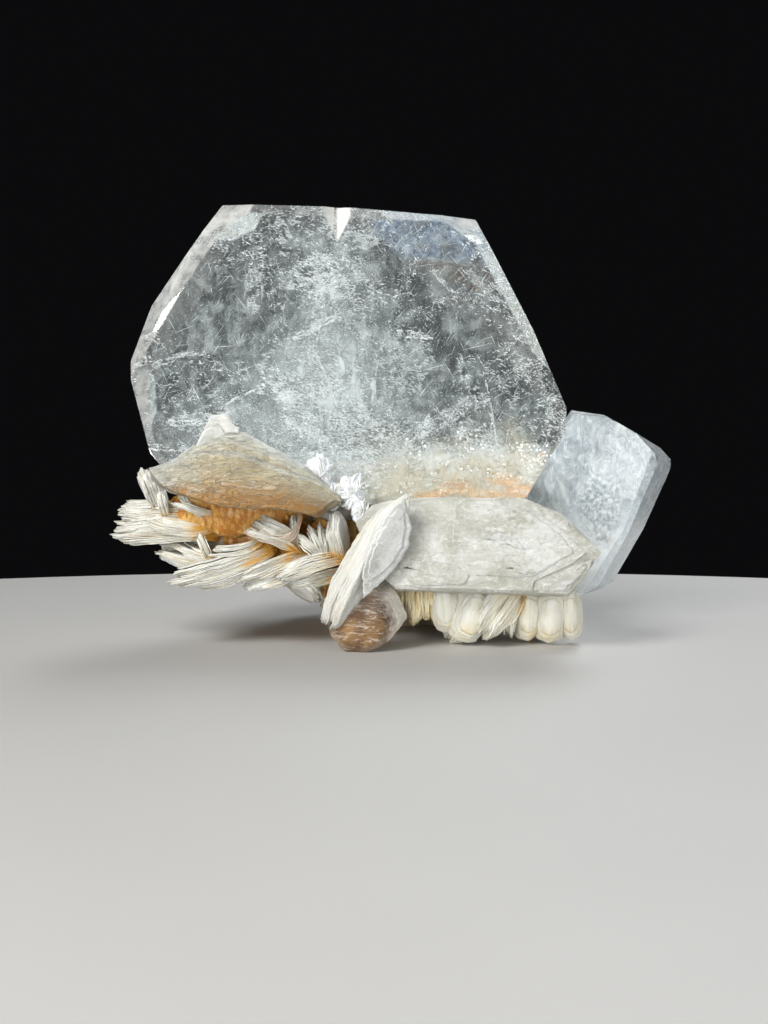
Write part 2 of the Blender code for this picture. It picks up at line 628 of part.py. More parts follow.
def build():
    """Makes every piece of the specimen."""
    clear_scene()
    parts = collection("beryl_on_mica")
    cutters = collection("cutters")

    tablet = cut_block("beryl_crystal", Vector(TABLET_FRONT), tablet_planes(), parts)
    subtract(tablet, notch_cutter(cutters))
    applied(tablet)
    small = cut_block("beryl_crystal_small", Vector(SMALL_FRONT), small_planes(), parts)
    plate = cut_block("mica_plate", Vector(PLATE_FRONT), plate_planes(), parts)
    add_ledges(plate, cutters)

    room_tablet = as_cutter(cut_block(
        "room_tablet", Vector(TABLET_FRONT), grown(tablet_planes(), GAP), cutters))
    room_small = as_cutter(cut_block(
        "room_small", Vector(SMALL_FRONT), grown(small_planes(), GAP), cutters))
    room_plate = as_cutter(cut_block(
        "room_plate", Vector(PLATE_FRONT), grown(plate_planes(), PLATE_ROOM), cutters))
    ground = box_cutter("ground", (-FAR, -FAR, -FAR), (FAR, FAR, 0.0), cutters)
    right_of_left = box_cutter("right_of_left", (LEFT_EDGE, -FAR, -FAR), (FAR, FAR, FAR), cutters)
    left_of_under = box_cutter(
        "left_of_under", (-FAR, -FAR, -FAR), (LEFT_EDGE + GAP, FAR, FAR), cutters)
    back_half = box_cutter("back_half", (-FAR, BACK_EDGE, -FAR), (FAR, FAR, FAR), cutters)
    front_half = box_cutter(
        "front_half", (-FAR, -FAR, -FAR), (FAR, BACK_EDGE + GAP, FAR), cutters)
    below_seat = box_cutter(
        "below_seat", (-FAR, -FAR, -FAR), (FAR, FAR, SEAT_EDGE + GAP), cutters)
    below_room = box_cutter("below_room", (-FAR, -FAR, -FAR), (FAR, FAR, SEAT_EDGE), cutters)
    right_of_seat = box_cutter("right_of_seat", (SEAT_RIGHT, -FAR, -FAR), (FAR, FAR, FAR), cutters)

    shell = shell_sheet("mica_shell_book", SHELL_THICK, 0.0, parts)
    applied(shell)
    join_collection(shell, packet_collection("mica_shell_book", SHELL_BLADES, cutters))
    cut_back(shell, (room_tablet,))
    room_shell = as_cutter(shell_sheet("room_shell", SHELL_THICK + 2.0 * GAP, GAP, cutters))
    room_shell.location.z = GAP * MM

    cut_back(seat_lump("stained_matrix", 0.0, parts),
             (room_tablet, room_small, room_plate, right_of_seat, below_seat))
    room_seat = as_cutter(seat_lump("room_seat", SEAT_ROOM, cutters))
    subtract(room_seat, below_room)
    lens = packet_collection("mica_lens_book", (), cutters)
    lens_packets("mica_lens_book", lens)
    lens_behind = box_cutter("lens_behind", (-FAR, LENS_BACK, -FAR), (FAR, FAR, FAR), cutters)
    lens_room = box_cutter(
        "lens_room", (LENS_LEFT, -FAR, -FAR), (LENS_RIGHT, LENS_BACK + GAP, FAR), cutters)
    mica_mass("mica_lens_book", lens, LENS_HUBS, (room_plate, lens_behind, ground), parts)
    mica_mass("mica_rosette_left", packet_collection("mica_rosette_left", LEFT_BOOKS, cutters),
              LEFT_HUBS,
              (room_tablet, room_shell, room_plate, room_seat, right_of_left, back_half,
               lens_room, ground), parts)
    mica_mass("mica_rosette_under", packet_collection("mica_rosette_under", UNDER_BOOKS, cutters),
              UNDER_HUBS,
              (room_tablet, room_small, room_plate, room_seat, left_of_under, back_half,
               lens_room, ground), parts)
    mica_mass("mica_rosette_back", packet_collection("mica_rosette_back", BACK_BOOKS, cutters),
              BACK_HUBS,
              (room_tablet, room_small, room_seat, front_half, ground), parts)
    finish(parts)


build()
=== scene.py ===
"""The looks of a beryl specimen: two clear to cloudy tablets that stand on books of pale mica.

The solids are the frame: X runs to the viewer's right, Y to the back and Z up, in metres. Lengths are
written in millimetres, and MM makes them metres. A book of mica is (root, tip, width, stack, roll, bow):
width is across its sheets, stack is the height of the pile at its tip, roll turns the sheets about the
line from root to tip, from edge-on to the viewer at 0 to face-on at 90, and bow is how far the book bends
aside halfway.
"""

import math

import bmesh
import bpy
import numpy as np
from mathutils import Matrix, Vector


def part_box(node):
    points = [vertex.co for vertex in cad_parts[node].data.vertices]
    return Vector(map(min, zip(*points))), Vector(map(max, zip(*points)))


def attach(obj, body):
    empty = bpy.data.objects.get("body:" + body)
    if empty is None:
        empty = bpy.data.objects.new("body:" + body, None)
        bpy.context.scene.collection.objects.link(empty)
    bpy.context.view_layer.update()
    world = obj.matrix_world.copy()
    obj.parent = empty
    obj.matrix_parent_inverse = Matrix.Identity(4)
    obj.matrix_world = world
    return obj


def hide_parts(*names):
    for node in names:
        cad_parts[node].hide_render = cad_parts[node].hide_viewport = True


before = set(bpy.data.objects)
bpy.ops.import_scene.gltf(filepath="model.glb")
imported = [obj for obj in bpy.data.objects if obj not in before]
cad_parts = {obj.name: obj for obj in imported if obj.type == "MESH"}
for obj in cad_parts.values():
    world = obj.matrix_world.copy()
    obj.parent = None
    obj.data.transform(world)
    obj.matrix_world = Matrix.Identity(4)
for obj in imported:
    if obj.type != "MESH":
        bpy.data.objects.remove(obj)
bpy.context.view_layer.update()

MM = 0.001
SEED = 7
BACKWARDS = np.array((0.0, 1.0, 0.0))

# The view: the camera looks down a little, from in front of the specimen.
VIEW_TARGET = np.array((-1.2, 0.5, 13.8)) * MM
VIEW_DISTANCE = 278.0 * MM
VIEW_RISE = math.radians(8.0)
VIEW_LENS = 85.0                        # on a sensor whose long side is 36

# The table: a round one whose far edge is a little behind the specimen.
TABLE_RADIUS = 230.0 * MM
TABLE_BACK = 42.0 * MM
TABLE_THICK = 6.0 * MM
TABLE_GAP = 0.02 * MM                   # between the specimen's foot and the table
ROOM_COLOUR = (0.0035, 0.0035, 0.004, 1.0)
# The lamps: the name, the place, the side, the power and the colour of each.
LAMPS = (
    ("key", (-170.0, -190.0, 210.0), 110.0, 0.92, (1.0, 0.985, 0.96)),
    ("back", (90.0, 210.0, 190.0), 140.0, 0.45, (0.95, 0.98, 1.0)),
    ("fill", (190.0, -210.0, 50.0), 160.0, 0.35, (1.0, 1.0, 1.0)),
    ("low", (-120.0, -260.0, 30.0), 120.0, 0.42, (1.0, 1.0, 1.0)),
)

# The large beryl: how it stands, its foot, and the groove in its top.
TABLET_LEAN = math.radians(6.0)
TABLET_OUT = np.array((0.0, -math.cos(TABLET_LEAN), math.sin(TABLET_LEAN)))
TABLET_UP = np.array((0.0, math.sin(TABLET_LEAN), math.cos(TABLET_LEAN)))
FOOT_RISE = math.radians(16.0)
FOOT_OUT = np.array((0.0, math.sin(FOOT_RISE), -math.cos(FOOT_RISE)))
NOTCH_MIDDLE = np.array((-6.4, -7.0, 48.4)) * MM
NOTCH_REACH = 5.2 * MM
GROOVE_X = -6.65 * MM
BERYL_IOR = 1.577
CRYSTAL_EASE = 0.09 * MM
CRYSTAL_GAP = 0.12 * MM                 # what the mica keeps clear of the crystals
SHARES_BY_AZIMUTH = (                   # how frosted a facet is, up to each azimuth in the broad front; the frost is partly painted light that whitens a facet for the light it catches
    (-150.0, 0.35), (-60.0, 0.25), (-14.0, 0.30), (40.0, 0.26), (72.0, 0.62), (100.0, 0.24),
    (135.0, 0.60), (166.0, 0.50), (181.0, 0.34),
)
# Its milky spots: the middle by x and z, the half width and half height, and the strength of each.
MILKY_SPOTS = (
    (-6.4, 38.0, 6.5, 14.0, 0.5), (-7.0, 27.5, 14.0, 10.0, 0.9),
    (-17.0, 21.0, 14.0, 7.0, 0.7), (8.0, 18.5, 13.0, 6.0, 0.9),
)
# Flecks in the crystals: how deep their middles and their ends are at least, how many of each kind there
# are at most, and the ways that the needles lie.
FLECK_DEPTH = 0.35 * MM
FLECK_CLEAR = 0.15 * MM
VEIL_FLECKS = 33000
HAZE_FLECKS = 17000
SMALL_FLECKS = 9000
FOOT_GRAINS = 500
NEEDLES = 900
NEEDLE_WAYS = (58.0, 118.0, 18.0, 50.0)

# How mica is laid out.
ROOT_SPREAD = 0.50                      # the stack's height at the root, as a share of the tip's
ROOT_WIDTH = 0.30                       # a sheet's width at its root, as a share of its own
OUTER_SHORT = 0.13                      # how much shorter a book's outermost sheets are than its middle
SHEET_FILL = 0.98                       # a sheet's thickness, as a share of its room in the stack
SHEET_ROOM = 0.13 * MM                  # the room that one sheet has in the stack
PACKET_SHEETS = 4                       # sheets that keep together in a packet
LEAF_ROWS = 15
LEAF_COLUMNS = 6
HEAP_ROWS = 17
LUMP_ROWS = 48
CORE_ROUGHNESS = 0.14
CORE_WAVES = 3.0
HEAP_START = 40.0                       # where the layers of a heap and of the leaning book are counted from
LENS_START = 20.0

# The cores, each with its middle and its radii, and the books that grow from them.
LEFT_CORES = (
    ((-14.0, -0.9, 11.2), (9.6, 6.2, 5.2)), ((-7.0, -4.8, 10.0), (5.0, 3.6, 4.2)),
    ((-4.8, -0.6, 9.0), (7.0, 6.4, 5.4)), ((-17.4, -7.0, 15.4), (7.4, 3.2, 3.4)),
)
LEFT_BOOKS = (
    ((-20.0, -4.4, 14.0), (-32.4, -6.4, 14.9), 6.5, 2.7, 6.0, 0.0),
    ((-19.8, -6.6, 13.3), (-28.6, -9.2, 14.2), 5.0, 1.6, -6.0, 0.2),
    ((-19.9, -5.6, 12.1), (-32.6, -8.0, 12.7), 6.5, 2.8, 6.0, -0.5),
    ((-19.6, -4.2, 13.0), (-32.4, -6.0, 13.6), 6.5, 1.4, 0.0, 0.0),
    ((-17.6, -6.2, 8.3), (-27.2, -8.8, 10.4), 5.0, 1.6, 4.0, 0.3),
    ((-17.6, -6.0, 8.9), (-25.4, -7.6, 11.5), 5.0, 1.3, -4.0, 0.2),
    ((-20.8, -7.4, 9.6), (-21.9, -9.4, 12.9), 3.0, 0.9, 10.0, 0.0),
    ((-13.4, -7.0, 10.9), (-25.6, -10.8, 7.3), 6.0, 2.5, 6.0, 0.3),
    ((-13.2, -6.2, 9.5), (-23.6, -9.4, 6.6), 6.0, 1.5, -4.0, 0.0),
    ((-9.6, -7.6, 10.5), (-18.3, -10.8, 7.2), 5.5, 1.7, 8.0, 0.0),
    ((-14.4, -8.0, 12.3), (-21.0, -9.8, 10.5), 4.0, 1.3, 6.0, 0.6),
    ((-9.4, -7.0, 9.8), (-17.2, -10.2, 6.4), 5.5, 1.8, -6.0, 0.0),
    ((-20.0, -4.4, 8.3), (-25.0, -6.2, 7.5), 5.0, 1.1, 0.0, 0.0),
    ((-4.3, -8.0, 10.0), (-13.8, -11.2, 8.2), 5.5, 1.9, 6.0, -0.5),
    ((-13.1, -7.2, 8.2), (-7.5, -11.0, 5.7), 5.0, 1.6, -30.0, 0.0),
    ((-5.0, -7.6, 8.7), (-12.2, -10.4, 7.0), 5.0, 1.5, 0.0, 0.0),
    ((-8.0, -8.4, 8.6), (-10.6, -11.6, 13.0), 3.2, 1.1, 14.0, -0.4),
    ((-7.8, -8.4, 8.6), (-9.6, -11.8, 14.2), 3.2, 0.9, 8.0, -0.2),
    ((-7.5, -8.2, 8.6), (-8.3, -11.6, 14.2), 3.2, 0.9, 0.0, 0.0),
    ((-7.2, -7.8, 8.6), (-7.4, -11.0, 13.0), 3.0, 0.8, -8.0, 0.0),
    ((-10.2, -7.6, 10.0), (-11.3, -10.8, 15.0), 3.0, 0.9, 0.0, 0.5),
    ((-10.6, -8.0, 11.1), (-15.7, -11.4, 14.5), 4.2, 2.4, 10.0, 0.0),
    ((-10.8, -8.6, 10.4), (-16.2, -12.0, 13.5), 4.0, 0.8, 6.0, -0.5),
    ((-19.9, -8.6, 15.0), (-24.8, -11.4, 16.5), 3.0, 0.7, 8.0, 0.2),
    ((-20.9, -7.8, 14.3), (-24.0, -10.4, 17.2), 3.0, 0.6, 0.0, 0.0),
    ((-26.4, -6.0, 14.8), (-27.8, -8.8, 20.1), 4.0, 2.0, 12.0, 0.0),
    ((-25.4, -7.0, 14.4), (-26.2, -9.4, 17.9), 3.0, 1.0, 0.0, 0.0),
    ((-5.4, -8.8, 9.2), (-7.2, -11.8, 15.9), 3.6, 1.6, -20.0, 0.0),
    ((-14.0, -1.0, 12.4), (-27.0, 1.4, 13.6), 8.0, 2.4, -10.0, 0.0),
    ((-15.0, 0.6, 13.6), (-25.6, 4.6, 16.4), 6.6, 2.0, 24.0, 0.0),
    ((-13.0, -0.6, 9.6), (-23.0, 0.4, 8.2), 8.0, 2.6, 12.0, 0.0),
    ((-14.4, -2.6, 11.0), (-27.4, -2.8, 10.6), 8.0, 2.0, 4.0, 0.0),
)
# The white knots against the large beryl: the middle and the radii of each, and how many slabs it has.
TUFT_KNOTS = (
    ((-8.3, -8.6, 19.0), (1.9, 0.6, 2.9), 50), ((-6.6, -9.2, 16.8), (1.3, 0.8, 2.1), 20),
    ((-4.7, -9.2, 17.3), (2.1, 0.8, 3.0), 50), ((-3.8, -9.6, 15.0), (1.6, 0.8, 2.2), 24),
)
UNDER_CORES = (
    ((9.2, -1.6, 7.8), (10.0, 7.6, 5.8)), ((2.4, -0.8, 8.0), (6.0, 6.8, 5.4)),
    ((2.8, -5.4, 6.6), (3.6, 1.9, 3.6)), ((13.0, -5.0, 5.2), (7.6, 2.4, 3.6)),
)
AMBER_BOOKS = (
    ((0.6, -5.4, 8.4), (0.9, -8.4, 2.7), 4.0, 1.9, 8.0, 0.0),
    ((2.4, -5.6, 8.4), (2.2, -8.9, 2.1), 4.0, 2.0, 0.0, 0.0),
    ((3.8, -5.8, 8.4), (3.7, -9.2, 2.5), 4.0, 1.8, 4.0, 0.0),
    ((5.0, -5.6, 8.4), (5.0, -8.6, 1.8), 4.0, 1.8, 8.0, 0.0),
)
UNDER_BOOKS = (
    ((15.2, -6.6, 7.9), (8.9, -10.2, 1.0), 5.0, 3.2, 12.0, -0.4),
    ((14.4, -6.2, 7.0), (9.8, -9.4, 0.6), 5.0, 2.4, -6.0, 0.0),
    ((12.9, -5.6, 8.0), (12.8, -9.0, 0.5), 4.0, 1.6, 0.0, 0.0),
    ((9.0, -4.0, 7.0), (6.2, -6.2, -1.0), 8.0, 3.6, 0.0, 0.0),
    ((12.0, -2.0, 8.0), (18.6, -2.6, 1.2), 8.0, 2.6, 0.0, 0.0),
    ((6.0, -3.0, 8.0), (0.4, -4.6, 2.0), 7.0, 2.4, 0.0, 0.0),
)
# Heaps of round sheets: the middle of the rearmost, its half width and half height, the heap's depth,
# how far the foremost is shifted, how far the heap leans, and how many sheets it has.
UNDER_HEAPS = (
    ((8.2, -8.4, 3.4), (2.2, 3.2), 1.8, (0.5, 0.4), 22.0, 8),
    ((5.8, -8.2, 4.0), (1.7, 2.7), 1.5, (-0.2, 0.5), -6.0, 7),
    ((14.9, -7.2, 3.2), (1.5, 2.9), 2.1, (0.1, 0.2), 4.0, 5),
    ((17.4, -7.5, 3.1), (1.75, 3.0), 2.3, (0.0, 0.2), 1.0, 5),
    ((19.8, -7.0, 3.2), (1.35, 2.9), 2.0, (-0.1, 0.2), -3.0, 5),
)
DOME_HEAP = ((-3.2, -11.1, 4.0), (4.2, 3.7), 2.5, (-0.9, -0.5), -34.0, 15)
BACK_CORES = (((3.6, 7.0, 6.4), (12.2, 5.8, 8.8)),)
BACK_BOOKS = (
    ((-4.0, 8.0, 9.6), (-17.4, 11.0, 12.4), 7.0, 2.6, 10.0, 0.0),
    ((-4.0, 7.6, 8.0), (-15.6, 10.6, 7.6), 7.0, 2.4, -8.0, 0.0),
    ((-3.0, 8.0, 7.0), (-11.4, 12.0, 3.4), 7.4, 2.8, 16.0, 0.0),
    ((-2.0, 9.0, 6.6), (-7.6, 13.2, -1.0), 7.4, 3.4, 0.0, 0.0),
    ((-1.0, 9.0, 10.0), (-9.6, 14.0, 12.8), 6.0, 2.2, 30.0, 0.0),
    ((-1.0, 9.0, 8.0), (-5.8, 15.0, 6.4), 6.4, 2.6, 64.0, 0.0),
    ((1.0, 9.0, 8.0), (0.6, 15.7, 4.0), 6.6, 3.0, 74.0, 0.0),
    ((2.0, 9.0, 9.6), (0.4, 15.0, 10.6), 6.6, 2.4, 60.0, 0.0),
    ((2.0, 9.0, 6.6), (3.0, 14.0, -1.0), 7.0, 3.2, 44.0, 0.0),
    ((4.0, 9.0, 9.6), (6.6, 15.0, 12.0), 6.6, 2.6, 62.0, 0.0),
    ((5.0, 9.0, 7.6), (8.2, 15.2, 5.6), 6.6, 2.6, 68.0, 0.0),
    ((6.0, 9.0, 6.6), (11.0, 13.6, -1.0), 7.0, 3.2, 18.0, 0.0),
    ((8.0, 8.0, 7.6), (16.2, 11.6, 2.8), 7.0, 2.8, 0.0, 0.0),
    ((8.0, 8.0, 9.4), (17.2, 12.4, 7.4), 7.0, 2.4, 8.0, 0.0),
    ((7.0, 8.6, 10.6), (13.6, 13.6, 12.6), 6.6, 2.2, -14.0, 0.0),
)

# The curved book at the left, from its rim along the large beryl to its lip.
SHELL_RIM = np.array((
    (-27.2, -9.0, 20.1), (-24.7, -8.8, 20.8), (-22.2, -8.4, 22.5), (-18.4, -8.2, 24.2),
    (-15.0, -8.3, 23.0), (-11.6, -8.6, 21.2), (-8.5, -9.0, 19.3), (-5.9, -9.5, 16.9)))
SHELL_LIP = np.array((
    (-26.8, -10.6, 19.0), (-24.2, -12.6, 17.9), (-21.9, -13.4, 17.2), (-18.8, -14.2, 16.5),
    (-15.3, -14.6, 16.3), (-11.6, -14.6, 16.2), (-8.6, -13.8, 15.3), (-6.2, -12.4, 14.6)))
SHELL_ARCH = ((-10.4, -9.4, 15.6), (-17.2, -12.0, 12.9), 3.0, 0.9, 0.0, 2.3)
SHELL_THICK = 1.7
SHELL_CROWN = 0.9
CROWN_WAY = np.array((0.0, -0.6, 0.8))
SHELL_SHEETS = 9
SHELL_ROWS = 15
SHELL_COLUMNS = 84
SHEET_FRONT = 0.05                      # a lone sheet's front and back, from how far out it is
SHEET_BACK = 0.2
# Thin sheets: how far out of a plane each is, and its outline in that plane. A plane is a point, and the
# directions of the outline's two numbers.
BLADE_PLANE = ((0.0, -13.9, 0.0), (1.0, 0.0, 0.0), (0.0, 0.22, 1.0))
SHELL_BLADES = (
    (0.10, ((-22.1, 21.6), (-21.7, 23.2), (-20.3, 25.8), (-18.5, 26.0), (-17.9, 25.0), (-17.2, 24.3),
            (-17.6, 22.0), (-19.0, 20.8), (-21.4, 20.6))),
    (0.34, ((-22.0, 21.8), (-21.8, 22.8), (-20.9, 24.2), (-20.0, 24.9), (-19.2, 24.5), (-18.2, 23.0),
            (-19.0, 21.0), (-21.4, 20.8))),
)
LEAF_PLANE = ((0.0, -13.4, 0.0), (1.0, 0.3, 0.0), (0.0, -0.114, 1.0))
LENS_LEAF = (
    (0.00, ((-0.9, 15.6), (0.1, 16.9), (1.0, 17.4), (1.3, 16.2), (1.8, 14.3), (1.5, 12.4), (0.7, 10.6),
            (-0.5, 9.2), (-1.7, 8.0), (-3.4, 6.6), (-3.5, 9.4), (-2.9, 11.8), (-1.9, 14.0))),
    (0.12, ((-0.9, 14.9), (0.2, 16.4), (0.9, 16.2), (1.1, 14.4), (0.7, 12.0), (-0.4, 10.2), (-1.6, 9.2),
            (-2.9, 8.4), (-2.8, 10.6), (-2.0, 13.0))),
)

# The book seen edge-on in the middle, and the rounded book at its foot.
LENS_FOOT = np.array((-8.0, -12.8, 2.8))
LENS_TOP = np.array((1.0, -14.0, 17.4))
LENS_STACK = 3.0
LENS_WIDTH = 4.4
LENS_ROLL = -50.0
LENS_SHEETS = 22
LENS_ROWS = 22
LENS_POINT = (0.2, 0.5)                 # how much shorter the outermost sheets are, in front and behind
LENS_TWIST = 44.0                       # how far the book turns from its foot to its top

# The mica plate across the front, and the thin sheets on it.
PLATE_EASE = 0.12 * MM
PLATE_LEAN = math.radians(14.0)
PLATE_PLANE = ((9.0, -12.5, 12.0), (1.0, 0.0, 0.0), (0.0, math.sin(PLATE_LEAN), math.cos(PLATE_LEAN)))
PLATE_SHEETS = (
    (0.30, ((-2.4, 4.6), (5.0, 4.2), (9.0, 1.3), (10.6, -0.9), (6.0, -3.6), (0.0, -3.4), (-2.8, 0.2))),
    (0.33, ((-8.2, -2.5), (-6.4, -1.8), (-2.4, -2.2), (-0.8, -3.4), (-1.5, -4.4), (-6.4, -4.5))),
    (0.34, ((7.4, -4.4), (10.6, -2.7), (12.0, -2.1), (11.9, -2.7), (10.9, -4.0), (9.6, -5.2), (7.2, -5.1))),
    (0.42, ((8.8, -4.6), (11.0, -3.2), (11.7, -2.8), (10.6, -4.1), (9.4, -5.1), (8.4, -5.1))),
    (0.42, ((0.5, 0.85), (2.1, 1.0), (4.1, 0.6), (5.4, -0.6), (2.6, 0.1))),
    (0.42, ((3.3, -1.5), (5.7, -3.0), (5.2, -3.4), (3.2, -2.6))),
)

SEAT_CENTRE = np.array((0.6, 1.6, 15.0))
SEAT_RADII = np.array((16.0, 8.6, 7.6))
SEAT_ROUGHNESS = 0.12
SEAT_WAVES = 4.0
SEAT_GAP = 0.1 * MM                     # between the seat's top and the large crystal's foot
# Where the seat is orange: x, y, and how wide each spot is.
STAIN_SPOTS = ((3.9, -6.0, 2.4), (10.2, -6.4, 2.6), (13.9, -5.6, 2.8), (7.0, -3.6, 3.0), (12.0, -2.0, 2.4))


# Shader maths.

class Value:
    """A socket of a material. Python's operators on it add the Math nodes that work the result out."""

    def __init__(self, finish, socket):
        self.finish = finish
        self.socket = socket

    def __add__(self, other):
        return self.finish.math("ADD", self, other)

    def __sub__(self, other):
        return self.finish.math("SUBTRACT", self, other)

    def __rsub__(self, other):
        return self.finish.math("SUBTRACT", other, self)

    def __mul__(self, other):
        return self.finish.math("MULTIPLY", self, other)

    def __truediv__(self, other):
        return self.finish.math("DIVIDE", self, other)

    __radd__ = __add__
    __rmul__ = __mul__

    def between(self, low, high):
        """0 where the value is at low or beyond it, 1 at high, and straight in between."""
        return self.finish.math("MULTIPLY", self - low, 1.0 / (high - low), clamp=True)

    def near(self, middle, inner, outer):
        """1 where the value is within inner of middle, 0 from outer away, and straight in between."""
        return 1.0 - self.finish.math("ABSOLUTE", self - middle, 0.0).between(inner, outer)

    def at_most(self, other):
        return self.finish.math("MINIMUM", self, other)

    def at_least(self, other):
        return self.finish.math("MAXIMUM", self, other)


class Finish:
    """A procedural material while it is being made."""

    def __init__(self, name):
        self.material = bpy.data.materials.new(name)
        self.material.use_nodes = True
        self.tree = self.material.node_tree
        self.tree.nodes.clear()

    def node(self, kind, settings=None, sockets=None, output=0):
        """Adds a node of a kind, with its settings and with values or links in its sockets."""
        made = self.tree.nodes.new("ShaderNode" + kind)
        for name, setting in (settings or {}).items():
            setattr(made, name, setting)
        for name, value in (sockets or {}).items():
            socket = made.inputs[name]
            if isinstance(value, Value):
                self.tree.links.new(value.socket, socket)
            else:
                socket.default_value = (*value, 1.0) if socket.type == "RGBA" else value
        return Value(self, made.outputs[output])

    def math(self, operation, first, second, clamp=False):
        return self.node("Math", {"operation": operation, "use_clamp": clamp}, {0: first, 1: second})

    def blend(self, share, first, second, kind="MIX"):
        """A colour between two others, by a share from 0 to 1."""
        sockets = {0: share, 6: first, 7: second}
        return self.node("Mix", {"data_type": "RGBA", "blend_type": kind}, sockets, 2)

    def coats(self, colour, *coats):
        """A colour under coats of others: each coat is its share and its colour, from the first one laid."""
        for share, coat in coats:
            colour = self.blend(share, colour, coat)
        return colour

    def place(self, stretch=(1.0, 1.0, 1.0), turn=0.0, centre=(0.0, 0.0, 0.0)):
        """A place on the object: from a centre, turned about the line to the back, and stretched."""
        where = self.node("TexCoord", output=3)
        moved = self.node("VectorMath", {"operation": "SUBTRACT"}, {0: where, 1: centre})
        return self.node("Mapping", {}, {"Vector": moved, "Rotation": (0.0, turn, 0.0), "Scale": stretch})

    def coordinates(self):
        """The three coordinates of a place on the object."""
        split = self.node("SeparateXYZ", {}, {0: self.place()})
        return [Value(self, end) for end in split.socket.node.outputs]

    def away(self, centre, scale):
        """How far off a centre is, in millimetres, once each direction is scaled."""
        place = self.place(np.array(scale) / MM, centre=np.array(centre) * MM)
        return self.node("VectorMath", {"operation": "LENGTH"}, {0: place}, 1)

    def noise(self, size, detail=2.0, roughness=0.5, distortion=0.0, place=None, **placing):
        """Cloudy values round 0.5, whose largest features are about as wide as size."""
        sockets = {"Vector": place or self.place(**placing), "Scale": 1.0 / size, "Detail": detail,
                   "Roughness": roughness, "Distortion": distortion}
        return self.node("TexNoise", {}, sockets)

    def cells(self, size, output=0):
        """Distances in a pattern of random cells about as wide as size, or, from output 1, their colours."""
        return self.node("TexVoronoi", {}, {"Vector": self.place(), "Scale": 1.0 / size}, output)

    def numbers(self, *names):
        """Numbers that the mesh holds."""
        return [self.node("Attribute", {"attribute_name": name}, output=2) for name in names]

    def bump(self, height, depth, strength):
        """A normal for relief that is depth high."""
        return self.node("Bump", {}, {"Height": height, "Distance": depth, "Strength": strength})

    def surface(self, colour, roughness, relief=None, glow=None, more=None):
        """A surface. Glow is how much light sinks in, how far each colour goes, and how far it all does."""
        sockets = {"Base Color": colour, "Roughness": roughness, **(more or {})}
        if relief:
            sockets["Normal"] = relief
        if glow:
            sockets.update(zip(("Subsurface Weight", "Subsurface Radius", "Subsurface Scale"), glow))
        return self.node("BsdfPrincipled", {}, sockets)

    def mixed(self, share, first, second):
        """One shader where share is 0, the other where it is 1."""
        return self.node("MixShader", {}, {0: share, 1: first, 2: second})

    def done(self, shader, volume=None):
        """Shows the shader, and returns the material."""
        end = self.tree.nodes.new("ShaderNodeOutputMaterial")
        self.tree.links.new(shader.socket, end.inputs["Surface"])
        if volume:
            self.tree.links.new(volume.socket, end.inputs["Volume"])
        return self.material


# Meshes from arrays. A form is (points, faces, numbers): all its faces have equally many corners, and its
# numbers are arrays with one value to a point, by the name that the finishes know them by.

def new_piece(name, form, material, slot, *replaced):
    """A piece of the specimen from its form."""
    points, faces, numbers = form
    mesh = bpy.data.meshes.new(name)
    mesh.vertices.add(len(points))
    mesh.vertices.foreach_set("co", np.ascontiguousarray(points, np.float32).ravel())
    mesh.loops.add(faces.size)
    mesh.loops.foreach_set("vertex_index", np.ascontiguousarray(faces, np.int32).ravel())
    mesh.polygons.add(len(faces))
    mesh.polygons.foreach_set("loop_start", np.arange(0, faces.size, faces.shape[1], dtype=np.int32))
    mesh.update(calc_edges=True)
    for key, values in numbers.items():
        attribute = mesh.attributes.new(key, "FLOAT", "POINT")
        attribute.data.foreach_set("value", np.ascontiguousarray(values, np.float32).ravel())
    finish_piece(bpy.data.objects.new(name, mesh), material, slot, *replaced)


def object_of(name, bm):
    """An object from a mesh that is being edited."""
    mesh = bpy.data.meshes.new(name)
    bm.to_mesh(mesh)
    bm.free()
    return bpy.data.objects.new(name, mesh)


def finish_piece(piece, material, slot, *replaced):
    """Puts the piece in the scene, on the specimen's one body."""
    bpy.context.scene.collection.objects.link(piece)
    piece.data.materials.append(material)
    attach(piece, "root")
    if replaced:
        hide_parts(*replaced)


def quads(index):
    """The four corners of every cell of a grid of point numbers."""
    corners = (index[:-1, :-1], index[:-1, 1:], index[1:, 1:], index[1:, :-1])
    return np.stack(corners, axis=-1).reshape(-1, 4)


def ring(index):
    """The point numbers round the border of a grid, once round."""
    return np.concatenate((index[0], index[1:, -1], index[-1, -2::-1], index[-2:0:-1, 0]))


def slabs(centre, through, numbers):
    """Closed sheets: centre holds each one's middle surface, (sheets, rows, columns, 3).

    A sheet's upper face is its middle surface plus half of through, its lower face is that minus
    half, and a wall joins the two round the border. The numbers are those of the middle surfaces.
    """
    count, rows, columns = shape = centre.shape[:3]
    points = np.stack((centre + through / 2.0, centre - through / 2.0), axis=1)
    upper, lower = np.arange(2 * rows * columns).reshape(2, rows, columns)
    over, under = ring(upper), ring(lower)
    wall = np.stack((under, np.roll(under, -1), np.roll(over, -1), over), axis=-1)
    one = np.concatenate((quads(upper), quads(lower)[:, ::-1], wall))
    faces = one[None] + 2 * rows * columns * np.arange(count)[:, None, None]
    numbers = {key: np.repeat(np.broadcast_to(values, shape)[:, None], 2, axis=1).ravel()
               for key, values in numbers.items()}
    return settled(points.reshape(-1, 3)), faces.reshape(-1, 4), numbers


def joined(forms):
    """Several forms as one."""
    starts = np.cumsum([0] + [len(form[0]) for form in forms[:-1]])
    points = np.concatenate([form[0] for form in forms])
    faces = np.concatenate([form[1] + start for form, start in zip(forms, starts)])
    numbers = {key: np.concatenate([form[2][key] for form in forms]) for key in forms[0][2]}
    return points, faces, numbers


def unit(vectors):
    """The vectors at length 1."""
    return vectors / np.linalg.norm(vectors, axis=-1, keepdims=True)


